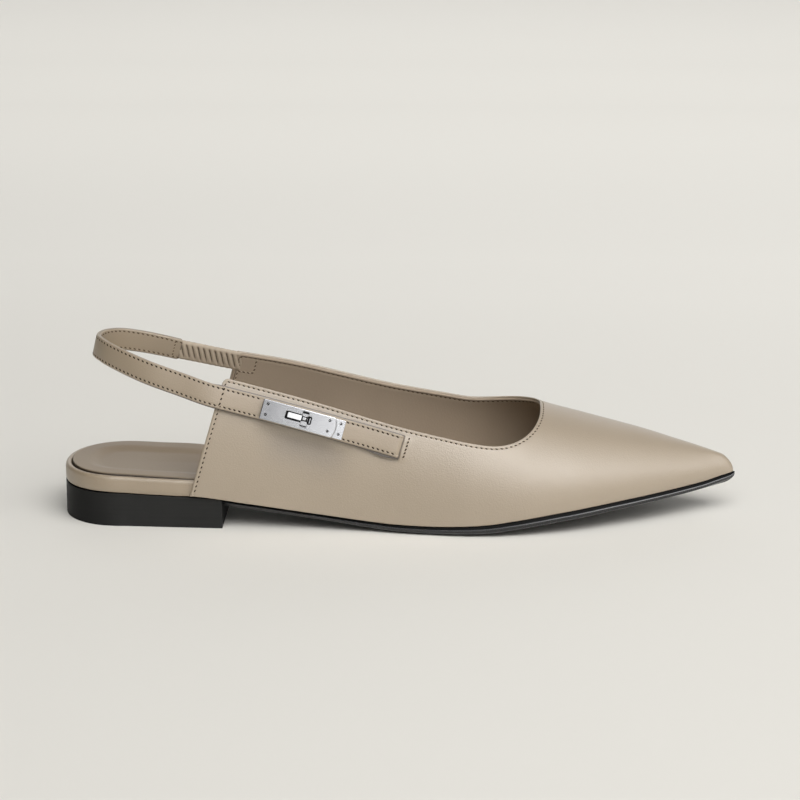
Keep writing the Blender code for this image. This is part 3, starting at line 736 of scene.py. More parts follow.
def leather_wall(name, outside, inside, furrow_in, furrow_out, corners, rim_points, rim_shade):
    """Both faces of one layer of the upper, with a round rim where they meet and a furrow along its seam."""
    grids = []
    radius = (inside - outside) / 2
    for side in (-1, 1):
        heights, fit = column_heights(START, END, side, corners[side])
        face = upper_point(START, END, side, heights, 0.0, corners[side])
        rim = distance(face, rim_points)
        foot = np.linalg.norm(face - face[:, :1], axis=2)
        edge = np.minimum(rim, foot / np.maximum(fit, 1e-6))
        curl = radius - np.sqrt(radius**2 - np.clip(radius - edge, 0, radius) ** 2)
        furrow = SEAM_DEEP * hump(rim - SEAM_IN, SEAM_WIDE) - ROLL * hump(rim - ROLL_IN, ROLL_WIDE)
        outer = upper_point(START, END, side, heights, outside + curl + furrow_out * furrow, corners[side])
        inner = upper_point(START, END, side, heights, inside - curl - furrow_in * furrow, corners[side])
        sunk = clasp_dent(face)
        # Painted shade: a thin dark line under the lining's rim, and darkening in the trough below the clasp.
        dye_and_painted_light = rim_shade * hump(rim - FOLD, FOLD_WIDE) + DENT_SHADE * sunk / DENT_DEEP
        normal = last_normal(face[..., 0], side, SIDE_ANGLE)
        dent = normal * sunk[..., None]
        outer, inner = outer - dent, inner - dent
        if furrow_out:
            outer = outer + normal * slit_lip(face)[..., None]
        grids += [lay_grid(name, outer, dye_and_painted_light), lay_grid(name, inner, dye_and_painted_light)]
    return weld(name, grids)


upper_leather = leather_wall("upper_leather", 0.0, LEATHER_INSIDE, 0.0, 1.0, OUTER_CORNERS, RIM, 0.0)
lining_layer = (LINING_OUTSIDE, LINING_INSIDE, 1.0, 0.0, LINING_CORNERS, LINING_RIM, 0.9)
upper_lining = leather_wall("upper_lining", *lining_layer)
settle(upper_leather, "taupe_leather", [taupe], "upper")
settle(upper_lining, "taupe_leather", [lining_finish])

# %% [markdown]
# ## The insole
# The sock is a thin foam pad under leather. It is flat along the shoe, hollowed a little under the heel,
# and its edge turns down into a narrow groove beside the rand. Its turned-down side and its back end are
# painted dark as the shade in that groove. In front of the rand it widens until it meets the lining. A
# tube of sections along the shoe gives the hollow and the turned edge directly, so no cloth run is needed
# for so thin and firm a pad.

# %% Insole
INSOLE = table(
    "x grow top arch dish",
    (-134.3, -2.85, 21.0, 0.0, 1.3),
    (-118.0, -2.85, 20.9, 0.1, 1.3),
    (-100.0, -2.85, 20.2, 0.7, 1.2),
    (-82.0, -2.85, 19.3, 1.6, 0.7),
    (-75.0, -2.85, 18.35, 1.67, 0.5),
    (-69.0, -1.0, 17.45, 1.74, 0.35),
    (-62.0, -0.95, 16.4, 1.8, 0.2),
    (-30.0, -1.7, 11.0, 1.0, 0.0),
    (30.0, -2.45, 7.7, 0.0, 0.0),
    (90.0, -2.8, 14.1, 0.0, 0.0),
    (116.0, -3.2, 15.8, 0.0, 0.0),
)
INSOLE_ROUND, INSOLE_TURN, INSOLE_LIFT, DISH_FROM, DISH_WIDE = 21, 0.9, 0.2, 6.5, 5.0
INSOLE_EDGE_SHADE = (1, 1, 0.9, 0.25, 0, 0)


def insole_rings():
    """Sections of the sock from heel to toe, each from its outer lower edge over the top to the inner one."""
    behind = HEEL_BACK - INSOLE["grow"][0]
    stations = np.concatenate([heel_stations(behind, INSOLE_ROUND, 1.5, 36), np.arange(-109, 116, 2.0)])
    rings, light_and_dye_values = [], []
    for x in stations:
        left, right = outline(x, follow(INSOLE, "grow", x))
        base = follow(SOLE, "feather", x) + INSOLE_LIFT
        top, arch = follow(INSOLE, "top", x), follow(INSOLE, "arch", x)
        half = (right - left) / 2
        turn = min(INSOLE_TURN, half * 0.4)
        corner = np.radians(np.linspace(0, 90, 6))
        share = np.linspace(-1, 1, 41)[1:-1] * (1 - turn / half)
        from_side = np.maximum(half * (1 - np.abs(share)), 0.1)
        inward = (from_side**-3 + (x - behind + 0.1) ** -3) ** (-1 / 3)
        hollow = follow(INSOLE, "dish", x) * ease((inward - DISH_FROM) / DISH_WIDE)
        rounded = [(turn - turn * math.cos(a), top - turn + turn * math.sin(a)) for a in corner]
        section = [(left, base)] + [(left + into, z) for into, z in rounded]
        section += [(left + half + half * s, top - h) for s, h in zip(share, hollow)]
        section += [(right - into, z) for into, z in rounded[::-1]] + [(right, base)]
        rings.append([(x, y, z + arch * max(0.0, y / right) * (z > base)) for y, z in section])
        # Painted shade: the turned-down sides are dark, as in the shaded groove beside the rand.
        light_and_dye_values.append([1, *INSOLE_EDGE_SHADE, *np.zeros(len(share)), *INSOLE_EDGE_SHADE[::-1], 1])
    # The back end is painted dark as well.
    light_and_dye_values[:2] = np.ones((2, len(light_and_dye_values[0])))
    return rings, np.array(light_and_dye_values, float)


rings, light_and_dye_values = insole_rings()
insole_pad = settle(tube("insole_pad", rings, dye_and_painted_light=light_and_dye_values), "insole_leather", [insole_finish], "insole")

# %% [markdown]
# ## The rand
# Round the heel seat runs a band of board wrapped in the same taupe leather. Its outer face is upright,
# its top edge is softly rounded, and its ends slip inside the quarters. It is a tube that follows the
# plan of the heel.

# %% Heel rand
RAND_WIDTH, RAND_FRONT = 2.4, -73.0
RAND_TUCK, TUCK_FROM, TUCK_LONG = 0.5, -87.0, 4.0
RAND_FOOT = table(
    "x z",
    (-134.3, 13.95),
    (-118.0, 13.9),
    (-109.0, 13.6),
    (-100.0, 13.2),
    (-90.0, 12.9),
    (-73.0, 12.3),
)
RAND_SECTION = (
    (0.16, 0.0), (0.06, 0.1), (0.0, 0.4), (-0.02, 2.4), (0.0, 4.9), (0.05, 5.45), (0.14, 5.9), (0.27, 6.22),
    (0.43, 6.4), (0.62, 6.42), (0.8, 6.32), (0.92, 6.1), (1.0, 5.6), (1.0, 0.0),
)


def rand_rings():
    """Sections of the band from the outer quarter round the heel to the inner one."""
    straight = np.linspace(RAND_FRONT, HEEL_STRAIGHT, 26)[:-1]
    outer, inner = (
        np.concatenate([straight, heel_stations(HEEL_BACK + into, HEEL_ROUND - into, 0, 40)[::-1]])
        for into in (0.0, RAND_WIDTH)
    )
    rings = []
    for side, order in ((0, range(len(outer))), (1, range(len(outer) - 2, -1, -1))):
        for i in order:
            tuck = RAND_TUCK * np.clip((outer[i] - TUCK_FROM) / TUCK_LONG, 0, 1)
            start = np.array([outer[i], outline(outer[i], -tuck)[side]])
            end = np.array([inner[i], outline(inner[i], -RAND_WIDTH)[side]])
            base = follow(RAND_FOOT, "z", outer[i])
            rings.append([(*(start + (end - start) * share), base + z) for share, z in RAND_SECTION])
    return rings


settle(tube("heel_band", rand_rings()), "taupe_leather", [deep_taupe], "heel_rand")

# %% [markdown]
# ## Sole and heel
# The outsole is thin black leather with a dressed edge: a narrow rebate under the upper, a rounded bead
# with the fine ribs of an edge wheel, and a small bevel at the bottom that picks up the floor. The heel
# is one low block, flat below and cut straight in front, with its edges just broken, and painted darker
# towards its back as shade. The sole is a tube of close sections, so that the ribs are real. The value in
# its corners tells the finish where the rebate is painted dull black as shade. It also tells where the crest
# and, faintly, the bottom bevel are painted grey as a highlight, fading towards the heel. The heel's edges are
# eased by a Bevel modifier.

# %% Black finishes
CREST_HIGHLIGHT, RECESS_SHADE = (0.200, 0.200, 0.208), (0.0012, 0.0012, 0.0013)
RECESS_SHADE_SPAN, CREST_HIGHLIGHT_SPAN, WAX_ROUGHNESS = (0.6, 0.85), (0.25, 0.5), 0.16
LEVEL_STRETCH, TOOTH_SIZE, WEAR_SIZE, WORN_SHARE, BACK_SHADE_FADE = 25.0, 0.5, 14.0, 1.7, 26.0


def black_finish(name, tone, roughness, stack_mm, depth_mm, specular=0.45, wax=0.0, shaded_back_tone=None):
    """Black dressed leather with faint level lines, a little wear and a fine tooth, waxed or left plain;
    painted shade in its sunken parts, a painted highlight on its crest, and painted shade towards the back if a
    back tone is given.
    """
    made, shader, place = new_finish(name, Specular_IOR_Level=specular, Coat_Roughness=WAX_ROUGHNESS)
    dye_and_painted_light = place.node("Attribute", {"attribute_name": "dye_and_painted_light"}, out="Fac")
    # Painted shade in the sunken rebate, and a painted highlight on the bead's crest.
    recess_shade, crest_highlight = dye_and_painted_light.between(*RECESS_SHADE_SPAN), dye_and_painted_light.between(*CREST_HIGHLIGHT_SPAN)
    stretch = (LEVEL_STRETCH, LEVEL_STRETCH, 1000.0 / stack_mm)
    level = place.node("Mapping", {}, {"Vector": place, "Scale": stretch})
    lines = place.node("TexNoise", {}, {"Vector": level, "Scale": 1.0, "Detail": 2.0})
    tooth = noise(place, TOOTH_SIZE, detail=3.0, roughness=0.65)
    wear = noise(place, WEAR_SIZE, detail=4.0)
    grey = (wear * 0.7 + tooth * 0.4 + lines * 0.3 - 0.25).between(0.1, 0.9)
    plain = grey.blend((*tone, 1), tuple(t * WORN_SHARE for t in tone) + (1,))
    # Painted shade: the colour darkens towards the back tone over the rearmost part of the heel.
    if shaded_back_tone:
        ahead = place.node("SeparateXYZ", {}, {"Vector": place}, out="X")
        plain = ahead.between(HEEL_BACK * MM, (HEEL_BACK + BACK_SHADE_FADE) * MM).blend((*shaded_back_tone, 1), plain)
    feed(shader, "Base Color", recess_shade.blend(crest_highlight.blend(plain, (*CREST_HIGHLIGHT, 1)), (*RECESS_SHADE, 1)))
    feed(shader, "Roughness", tooth * 0.2 + wear * 0.14 + recess_shade * 0.4 + (roughness - 0.16))
    if wax:
        feed(shader, "Coat Weight", (1 - recess_shade) * wax)
    emboss(shader, tooth * 0.5 + lines * 0.5, depth_mm, 0.5)
    return made


sole_finish = black_finish("black sole edge", (0.004, 0.004, 0.005), 0.28, 3.0, 0.03, 0.25, 0.8)
# The heel's back tone is painted shade.
HEEL_TONE, HEEL_SHADED_BACK_TONE = (0.020, 0.020, 0.0194), (0.003, 0.003, 0.003)
heel_finish = black_finish("black heel", HEEL_TONE, 0.5, 0.9, 0.03, 0.12, shaded_back_tone=HEEL_SHADED_BACK_TONE)
print("two blacks")

# %% Outsole
TREAD_SHARE, TOE_BLUNT = 0.72, 5.0
RIB_PITCH, RIB_DEEP, RIB_FROM, RIB_FADE = 0.84, 0.09, -36.0, 30.0
CLOSE_FROM, CLOSE_TO = -40.0, 127.0
SOLE_EDGE = (
    (2.6, 0.0), (1.2, 0.0), (1.05, 0.04), (1.0, 0.12), (0.98, 0.3), (0.6, 0.37), (0.3, 0.4), (0.1, 0.45),
    (0.0, 0.52), (0.04, 0.58), (0.2, 0.65), (0.36, 0.74), (0.42, 0.84), (0.34, 0.88), (0.4, 0.93), (0.7, 1.0),
)
BEAD = (5, 10)
EDGE_LIGHT_MARKS = (1, 1, 1, 1, 1, 0.85, 0.5, 0.5, 0.2, 0, 0, 0, 0, 0.2, 0.3, 0.0)
HEEL_HIDES, HIDES_FROM, HIDES_FADE = 0.9, -66.0, 6.0
HIGHLIGHT_FROM, HIGHLIGHT_LONG, HIGHLIGHT_LEAST, SHADED_ABOVE = -20.0, 110.0, 0.3, 0.7


def outsole_rings():
    """Sections of the sole, from the middle of its top round one edge, the tread and the other edge."""
    toe_turn = np.radians(np.linspace(0, 88.5, 46))
    stations = np.concatenate([
        heel_stations(HEEL_BACK, HEEL_ROUND, 18.0, 40),
        np.arange(-109.0, CLOSE_FROM, 2.0),
        np.arange(CLOSE_FROM, CLOSE_TO, RIB_PITCH / 4),
        TOE_TIP - TOE_ROUND * (1 - np.sin(toe_turn)),
    ])
    rings = []
    for x in stations:
        left, right = outline(x, follow(OUTSOLE_REACH, "grow", x))
        blunt = 0.25 + 0.75 * rounding(TOE_TIP - x, TOE_BLUNT, 2.0)
        top, edge = follow(SOLE, "feather", x) - GAP, follow(SOLE, "edge", x) * blunt
        tread = min(top - edge, top + (follow(SOLE, "tread", x) - top) * blunt)
        half, centre = (right - left) / 2, (left + right) / 2
        half = half - HEEL_HIDES * np.clip((HIDES_FROM - x) / HIDES_FADE, 0, 1) * min(1.0, half / 8)
        rib = RIB_DEEP * (1 + math.sin(2 * math.pi * x / RIB_PITCH))
        rib = rib * np.clip((x - RIB_FROM) / RIB_FADE, 0, 1)
        rim = []
        for k, (inward, down) in enumerate(SOLE_EDGE):
            inward = inward + (rib if BEAD[0] <= k <= BEAD[1] else 0)
            rim.append((max(0.0, half - min(inward, half * 0.9)), top - down * edge))
        rim.append((half * TREAD_SHARE, tread))
        section = [(centre - away, z) for away, z in rim] + [(centre + away, z) for away, z in rim[::-1]]
        rings.append([(x, y, z) for y, z in section])
    return rings


edge_light_marks = np.array([*EDGE_LIGHT_MARKS, 0, 0, *EDGE_LIGHT_MARKS[::-1]])
rings = np.array(outsole_rings())
# The painted highlight fades towards the heel, as if lit from the toe; the sunken part stays painted black.
highlight_fade = np.clip((rings[:, :1, 0] - HIGHLIGHT_FROM) / HIGHLIGHT_LONG, HIGHLIGHT_LEAST, 1)
light_and_dye_values = np.where(edge_light_marks[None, :] > SHADED_ABOVE, 1.0, edge_light_marks[None, :] * highlight_fade)
settle(tube("sole", rings, dye_and_painted_light=light_and_dye_values), "black_sole", [sole_finish], "outsole")

# %% Heel block
HEEL_BREAST, HEEL_TAPER, HEEL_EASE, RAND_LINE = -69.5, 0.25, 0.25, 0.32


def heel_rings():
    """Sections of the block from the back to its straight front."""
    straight = np.linspace(HEEL_STRAIGHT, HEEL_BREAST, 22)[1:]
    stations = np.concatenate([heel_stations(HEEL_BACK, HEEL_ROUND, 2.5, 34), straight])
    rings = []
    for x in stations:
        left, right = outline(x, 0.0)
        low_left, low_right = outline(min(x + HEEL_TAPER, HEEL_BREAST), -HEEL_TAPER)
        top = min(follow(SOLE, "feather", x), follow(RAND_FOOT, "z", x)) - RAND_LINE
        section = ((left, top), (low_left, 0.0), (low_right, 0.0), (right, top))
        rings.append([(x, y, z) for y, z in section])
    return rings


def ease_edges(piece, width_mm, segments=2, angle=35.0, smooth=20.0):
    """Rounds a piece's sharp edges a little with a Bevel modifier, and applies it. Flat faces stay flat."""
    alone(piece)
    bevel = piece.modifiers.new("eased edges", "BEVEL")
    bevel.width = width_mm * MM
    bevel.segments = segments
    bevel.limit_method = "ANGLE"
    bevel.angle_limit = math.radians(angle)
    bpy.ops.object.modifier_apply(modifier=bevel.name)
    bpy.ops.object.shade_smooth_by_angle(angle=math.radians(smooth))
    return piece


heel_block = ease_edges(tube("heel_block", heel_rings(), smooth=30.0), HEEL_EASE)
settle(heel_block, "black_sole", [heel_finish], "heel")

# %% [markdown]
# ## Strap and elastic
# The strap is two layers of leather folded and sewn, almost 9 mm wide, so both faces show a seam furrow
# near each edge and the edges are round. Along its edges a thin dark strip stands out between the layers.
# The strip is partly a dyed edge, but mostly painted shadow under its lower edge and over its upper one, widest
# just behind the slit. It dives into a slit in the quarter at its front, and both its ends are painted dark as
# shade. At its other end a short elastic in a leather sleeve joins it to the inner quarter. The sleeve is
# longer than the elastic, so it gathers into eleven slanting folds, whose valleys are painted darker as
# shade. Both are tubes along their own line; the folds are made from a wave that is round on top and
# narrow in its valleys.

# %% Strap
SEAM_FROM_EDGE, STRAP_FURROW, FURROW_WIDE, STRAP_ROUND, STRAP_SWELL = 1.0, 0.12, 0.22, 0.5, 0.07
STRAP_SEAM = STRAP_WIDTH / 2 - SEAM_FROM_EDGE
EDGE_ANGLES, SEAM_MARKS = (90, 72, 54, 36, 18), (0.45, 0.28, 0.14, 0.0, -0.14, -0.28, -0.5)
DIVE_LONG, DIVE_DEEP, TAB_ROUND = 2.0, 0.9, 1.2
SHADOW_STRIP, SHADOW_STRIP_SOFT, SHADOW_STRIP_OUT, SHADOW_WEDGE_MORE = 0.12, 0.12, 0.28, 0.85
SHADOW_WEDGE_AT, SHADOW_WEDGE_LONG, SLIT_SHADE = 7.0, 6.0, 0.55
TOP_SHADOW, TOP_SHADOW_FROM, TOP_SHADOW_FADE = 0.45, -74.0, 3.0


def strap_section(half, thick, shadow_proud, top_shadow_proud):
    """Points round the strap, top to bottom over its outer face and back over its inner one, and their values
    of painted shadow and dyed edge.
    """
    near_edge = half - STRAP_ROUND + STRAP_ROUND * np.sin(np.radians(EDGE_ANGLES))
    seam = half - SEAM_FROM_EDGE + np.array(SEAM_MARKS)
    marks = np.concatenate([near_edge, seam, [1.3, 0.5]])
    marks = np.concatenate([marks, -marks[::-1]])
    past = np.clip(np.abs(marks) - half + STRAP_ROUND, 0, STRAP_ROUND)
    lift = thick - STRAP_ROUND + np.sqrt(STRAP_ROUND**2 - past**2)
    lift = lift - STRAP_FURROW * hump(np.abs(marks) - (half - SEAM_FROM_EDGE), FURROW_WIDE)
    lift = lift + STRAP_SWELL * (1 - (marks / half) ** 2)
    face = np.stack([marks, lift], -1)
    # Dark strips below and above the edges: painted shadow, partly a dyed edge.
    front, behind = SHADOW_STRIP - SHADOW_STRIP_SOFT, -SHADOW_STRIP - SHADOW_STRIP_SOFT
    lower = [(-half, SHADOW_STRIP), (-half - shadow_proud, front), (-half - shadow_proud, -SHADOW_STRIP), (-half, behind)]
    upper = [(half, behind), (half + top_shadow_proud, -SHADOW_STRIP), (half + top_shadow_proud, front), (half, SHADOW_STRIP)]
    section = np.concatenate([face, lower, -face, upper])
    plain = np.zeros(len(face))
    top_shade = min(1.0, 0.35 + 2 * top_shadow_proud)
    dye_and_painted_light = np.concatenate([plain, [0.8, 1, 1, 0.8], plain, [top_shade] * 3 + [0.5 * top_shade]])
    return section, dye_and_painted_light


def strap_rings():
    """Sections along the strap, diving at its front and narrowing at the corners of its far end."""
    rings, light_and_dye_values = [], []
    for i, run in enumerate(strap_run):
        dive = np.clip(1 - run / DIVE_LONG, 0, 1)
        left = strap_run[-1] - run
        pinch = TAB_ROUND - math.sqrt(TAB_ROUND**2 - np.clip(TAB_ROUND - left, 0, TAB_ROUND) ** 2)
        # Painted shadow under the lower edge, widest just behind the slit, and over the upper edge on the
        # quarter.
        shadow_proud = SHADOW_STRIP_OUT + SHADOW_WEDGE_MORE * hump(run - SHADOW_WEDGE_AT, SHADOW_WEDGE_LONG)
        top_shadow_proud = 0.02 + TOP_SHADOW * np.clip((middle[i][0] - TOP_SHADOW_FROM) / TOP_SHADOW_FADE, 0, 1)
        half, thick = STRAP_WIDTH / 2 - 0.6 * pinch, STRAP_THICK / 2 + 0.05
        section, dye_and_painted_light = strap_section(half, thick, shadow_proud, top_shadow_proud)
        centre = middle[i] - out[i] * DIVE_DEEP * dive**2
        rings.append(centre + section[:, :1] * up[i] + section[:, 1:] * out[i])
        # Both ends are painted dark as shade: where the strap dives into the slit, and at its far end.
        light_and_dye_values.append(np.maximum(dye_and_painted_light, float(run < SLIT_SHADE or left < 0.05)))
    return rings, np.array(light_and_dye_values)


rings, light_and_dye_values = strap_rings()
settle(tube("strap", rings, dye_and_painted_light=light_and_dye_values), "taupe_leather", [deep_taupe], "sling_strap")

# %% Elastic
ELASTIC_WIDTH, ELASTIC_THICK, ELASTIC_HEIGHT = 8.2, 2.6, 57.7
FOLDS, FOLD_SLANT, FOLD_REACH, FOLD_FADE = 11.5, 0.34, 0.64, 0.28
FOLD_DEEP, FOLD_PINCH, VALLEY_POWER, VALLEY_SHADE = 0.95, 0.12, 0.5, 0.95
SLEEVE_IN_STRAP, SLEEVE_IN_QUARTER, CALM_LONG, SLEEVE_SQUARE = 1.6, 2.4, 2.2, 0.75
SLEEVE_THIN, SLEEVE_NARROW, VALLEY_SHADE_FROM, VALLEY_SHADE_FADE = 0.6, 0.03, 0.42, 0.3
SLEEVE_TONES = (0.470, 0.388, 0.296), (0.415, 0.336, 0.250)


def elastic_ends():
    """Both ends of the sleeve and its upward direction there: at the strap and at the inner quarter's edge."""
    row = (START[:1], END[:1])
    rise = np.linspace(0, 1, 200)[None, :]
    edge = (upper_point(*row, 1, rise) + upper_point(*row, 1, rise, WALL))[0] / 2
    goal = edge[np.abs(edge[:, 2] - ELASTIC_HEIGHT).argmin()]
    goal_up = unit((upper_point(*row, 1, 0.95) - upper_point(*row, 1, 0.6))[0, 0])
    way = unit(goal - middle[-1])
    return middle[-1] - way * SLEEVE_IN_STRAP, goal + way * SLEEVE_IN_QUARTER, up[-1], goal_up


def elastic_rings():
    """Sections along the gathered sleeve; a slanting wave swells and pinches them, and paints shade in its
    valleys.
    """
    start, end, up_start, up_end = elastic_ends()
    length = np.linalg.norm(end - start)
    way = unit(end - start)
    turn = np.linspace(0, 2 * np.pi, 48, endpoint=False)
    over, deep = (np.sign(wave) * np.abs(wave) ** SLEEVE_SQUARE for wave in (np.cos(turn), np.sin(turn)))
    rings, light_and_dye_values = [], []
    for t in np.linspace(0, 1, 300):
        rise = up_start * (1 - t) + up_end * t
        rise = unit(rise - way * (rise @ way))
        away = np.cross(rise, way)
        run = t * length + FOLD_SLANT * over * ELASTIC_WIDTH / 2
        valley = 1 - np.abs(np.sin(np.pi * FOLDS * run / length)) ** VALLEY_POWER
        calm = np.clip(np.minimum(t, 1 - t) * length / CALM_LONG, 0, 1)
        gather = calm * ease((FOLD_REACH + FOLD_FADE / 2 - np.abs(over)) / FOLD_FADE)
        wide = ELASTIC_WIDTH / 2 * (1 - SLEEVE_NARROW * valley * calm)
        swell = SLEEVE_THIN + (1 - SLEEVE_THIN) * calm - FOLD_DEEP * valley * gather
        thick = ELASTIC_THICK / 2 * (swell - FOLD_PINCH * valley * calm)
        rings.append(start + way * t * length + (over * wide)[:, None] * rise + (deep * thick)[:, None] * away)
        # Painted shade in the valleys of the folds.
        light_and_dye_values.append(VALLEY_SHADE * gather * np.clip((valley - VALLEY_SHADE_FROM) / VALLEY_SHADE_FADE, 0, 1))
    return rings, np.array(light_and_dye_values)


sleeve_finish = leather("gathered leather", *SLEEVE_TONES, 0.52, 0.8, 0.05)
rings, light_and_dye_values = elastic_rings()
settle(tube("elastic_sleeve", rings, 75.0, light_and_dye_values), "gathered_elastic", [sleeve_finish], "elastic")

# %% [markdown]
# ## The clasp
# A base plate is pinned to the strap. A slotted top plate lies on it, and a small bar on a stem comes up
# through the slot: turned across the slot it holds the top plate down. Flat metal parts are cut from
# sheet, so each starts as a filled outline that is pulled up to its thickness. The slot and the bar's
# waist are cut with Boolean modifiers, and every edge is broken with a Bevel, because it is the bright
# line along an edge that makes metal look like metal. The rivets sit in thin dark rings laid on the
# plate, which stand for the shadow of their sunken holes and are simpler than cutting them. The same
# near-black metal lines the slot's floor, caps the bar's ends and rings its boss, as painted shadow. The
# plate is painted a little darker at the heel end and brighter towards the toe, as a painted reflection.

# %% Place of the clasp
CLASP_PLACE, CLASP_LIFT, BASE_LENGTH, BOW = -37.3, 0.5, 33.0, 260.0
FRAME_POINTS, NEARBY = 400, 30


def clasp_frame():
    """The clasp's own axes: X along the strap to the toe, Y up and Z out of the shoe, from its heel end."""
    fine, _, rise, _ = strap_path(GAP + STRAP_THICK / 2, FRAME_POINTS)
    nearest = int(np.abs(fine[:, 0] - CLASP_PLACE).argmin())
    ahead = unit(fine[nearest - NEARBY] - fine[nearest + NEARBY])
    above = unit(rise[nearest] - ahead * (rise[nearest] @ ahead))
    away = np.cross(ahead, above)
    corner = fine[nearest] + away * (STRAP_THICK / 2 + CLASP_LIFT) - ahead * BASE_LENGTH / 2
    axes = Matrix((ahead, above, away)).transposed().to_4x4()
    axes.translation = Vector(corner * MM)
    return axes


CLASP = clasp_frame()
CLASP_X, CLASP_Y = (np.array(CLASP.col[i][:3]) for i in range(2))
CLASP_AT = np.array(CLASP.translation) / MM
print("clasp at", np.round(CLASP_AT, 2).tolist())


# %% Metal finish
SHADED_SHARE, LIT_SHARE, CLOUD_SIZE = 0.56, 1.5, 4.0
BRUSH_ALONG, BRUSH_ACROSS = 90.0, 7000.0


def metal(name, tone, roughness, brush_depth_mm):
    """Metal brushed along the strap, with small changes of gloss and a painted reflection that brightens it
    towards the toe.
    """
    made, shader, place = new_finish(name, Metallic=1.0)
    lengthwise, crosswise = (
        place.node("VectorMath", {"operation": "DOT_PRODUCT"}, {0: place, 1: tuple(axis)}, out="Value")
        for axis in (CLASP_X, CLASP_Y)
    )
    grain = place.node("CombineXYZ", {}, {0: lengthwise * BRUSH_ALONG, 1: crosswise * BRUSH_ACROSS})
    # Painted reflection: the colour brightens from the clasp's heel end towards its toe end.
    forward = (lengthwise - float(CLASP_AT @ CLASP_X) * MM).between(0.0, BASE_LENGTH * MM)
    brush = place.node("TexNoise", {}, {"Vector": grain, "Scale": 1.0, "Detail": 3.0})
    cloud = noise(place, CLOUD_SIZE)
    reflection_and_brush = forward * 0.8 + brush * 0.1 + cloud * 0.1
    shaded_tone, lit_tone = (tuple(t * share for t in tone) + (1,) for share in (SHADED_SHARE, LIT_SHARE))
    feed(shader, "Base Color", reflection_and_brush.blend(shaded_tone, lit_tone))
    feed(shader, "Roughness", brush * 0.03 + cloud * 0.05 + (roughness - 0.04))
    emboss(shader, brush, brush_depth_mm, 0.3)
    return made


bright = metal("bright metal", (0.575, 0.578, 0.592), 0.24, 0.0004)
polished = metal("polished metal", (0.310, 0.312, 0.316), 0.2, 0.0002)
# Near-black metal for painted shadow: the slot's floor, the rings round the rivets, the bar's ends and round
# its boss.
shadowed = metal("metal painted as shadow", (0.02, 0.02, 0.02), 0.5, 0.004)
print("three metals")


# %% Flat metal pieces
def slab(name, shape, low, high):
    """A flat piece in the clasp's own axes: a filled outline pulled up from low to high."""
    alone()
    bpy.ops.mesh.primitive_circle_add(vertices=len(shape), fill_type="NGON")
    piece = new_piece(name)
    corners = np.array([(x, y, low) for x, y in shape])
    piece.data.vertices.foreach_set("co", (corners * MM).reshape(-1))
    bpy.ops.object.mode_set(mode="EDIT")
    bpy.ops.mesh.select_all(action="SELECT")
    bpy.ops.mesh.extrude_region_move(TRANSFORM_OT_translate={"value": (0, 0, (high - low) * MM)})
    face_outwards()
    return piece


def cut_out(piece, cutters):
    """Takes the cutters' space out of a piece with Boolean modifiers, and removes the cutters."""
    for cutter in cutters:
        alone(piece)
        less = piece.modifiers.new("cut", "BOOLEAN")
        less.operation, less.solver, less.object = "DIFFERENCE", "EXACT", cutter
        bpy.ops.object.modifier_apply(modifier=less.name)
        bpy.data.objects.remove(cutter)
    return piece


def to_clasp(piece):
    """Bows a piece a little with the foot's curve and moves it from the clasp's axes to the strap."""
    for corner in piece.data.vertices:
        corner.co.z -= (corner.co.x - BASE_LENGTH / 2 * MM) ** 2 / (2 * BOW * MM)
    piece.data.transform(CLASP)
    piece.data.update()
    return piece


def metal_piece(name, shape, low, high, finish, width_mm, segments, *nodes, body="shoe"):
    """A flat piece with its edges broken, finished and put in its place on the strap."""
    piece = to_clasp(ease_edges(slab(name, shape, low, high), width_mm, segments))
    return settle(piece, "bright_metal", [finish], *nodes, body=body)


def disc(x, y, wide, count=24):
    """Outline of a round piece."""
    turn = np.linspace(0, 2 * np.pi, count, endpoint=False)
    return np.stack([x + wide / 2 * np.cos(turn), y + wide / 2 * np.sin(turn)], -1)


def bar_shape(x, y, wide, tall, soft, count=6):
    """Outline of a rectangle with rounded corners."""
    shape = []
    for quarter, (a, b) in enumerate(((1, 1), (-1, 1), (-1, -1), (1, -1))):
        corner = x + a * (wide / 2 - soft), y + b * (tall / 2 - soft)
        for turn in np.radians(np.linspace(0, 90, count) + 90 * quarter):
            shape.append((corner[0] + soft * math.cos(turn), corner[1] + soft * math.sin(turn)))
    return shape


print("metal helpers ready")

# %% Plates
PLATE_LENGTH, PLATE_BULGE, PLATE_HEIGHT, PLATE_THICK, PLATE_DROP = 28.6, 1.3, 7.6, 1.4, 0.5
BASE_HEIGHT, BASE_THICK, BASE_SINK = 7.2, 0.9, 0.9
BULGE_TURN, BULGE_FULL = 1.2, 1.35
SLOT_START, SLOT_END, SLOT_HEIGHT, CUT_LOW, CUT_HIGH = 9.6, 20.0, 3.2, -3, 6
PIN_ALONG, PIN_ACROSS, PIN_WIDE, PIN_PROUD, PIN_DEEP = (2.0, 26.8, 31.2), 2.1, 0.5, 0.14, 0.5
PIN_RING, RING_ASIDE, RING_PROUD = 1.1, 0.08, 0.03
TOP_LOW = BASE_THICK + GAP
TOP_HIGH = TOP_LOW + PLATE_THICK
pin_spots = [(x, side * PIN_ACROSS) for x in PIN_ALONG for side in (1, -1)]

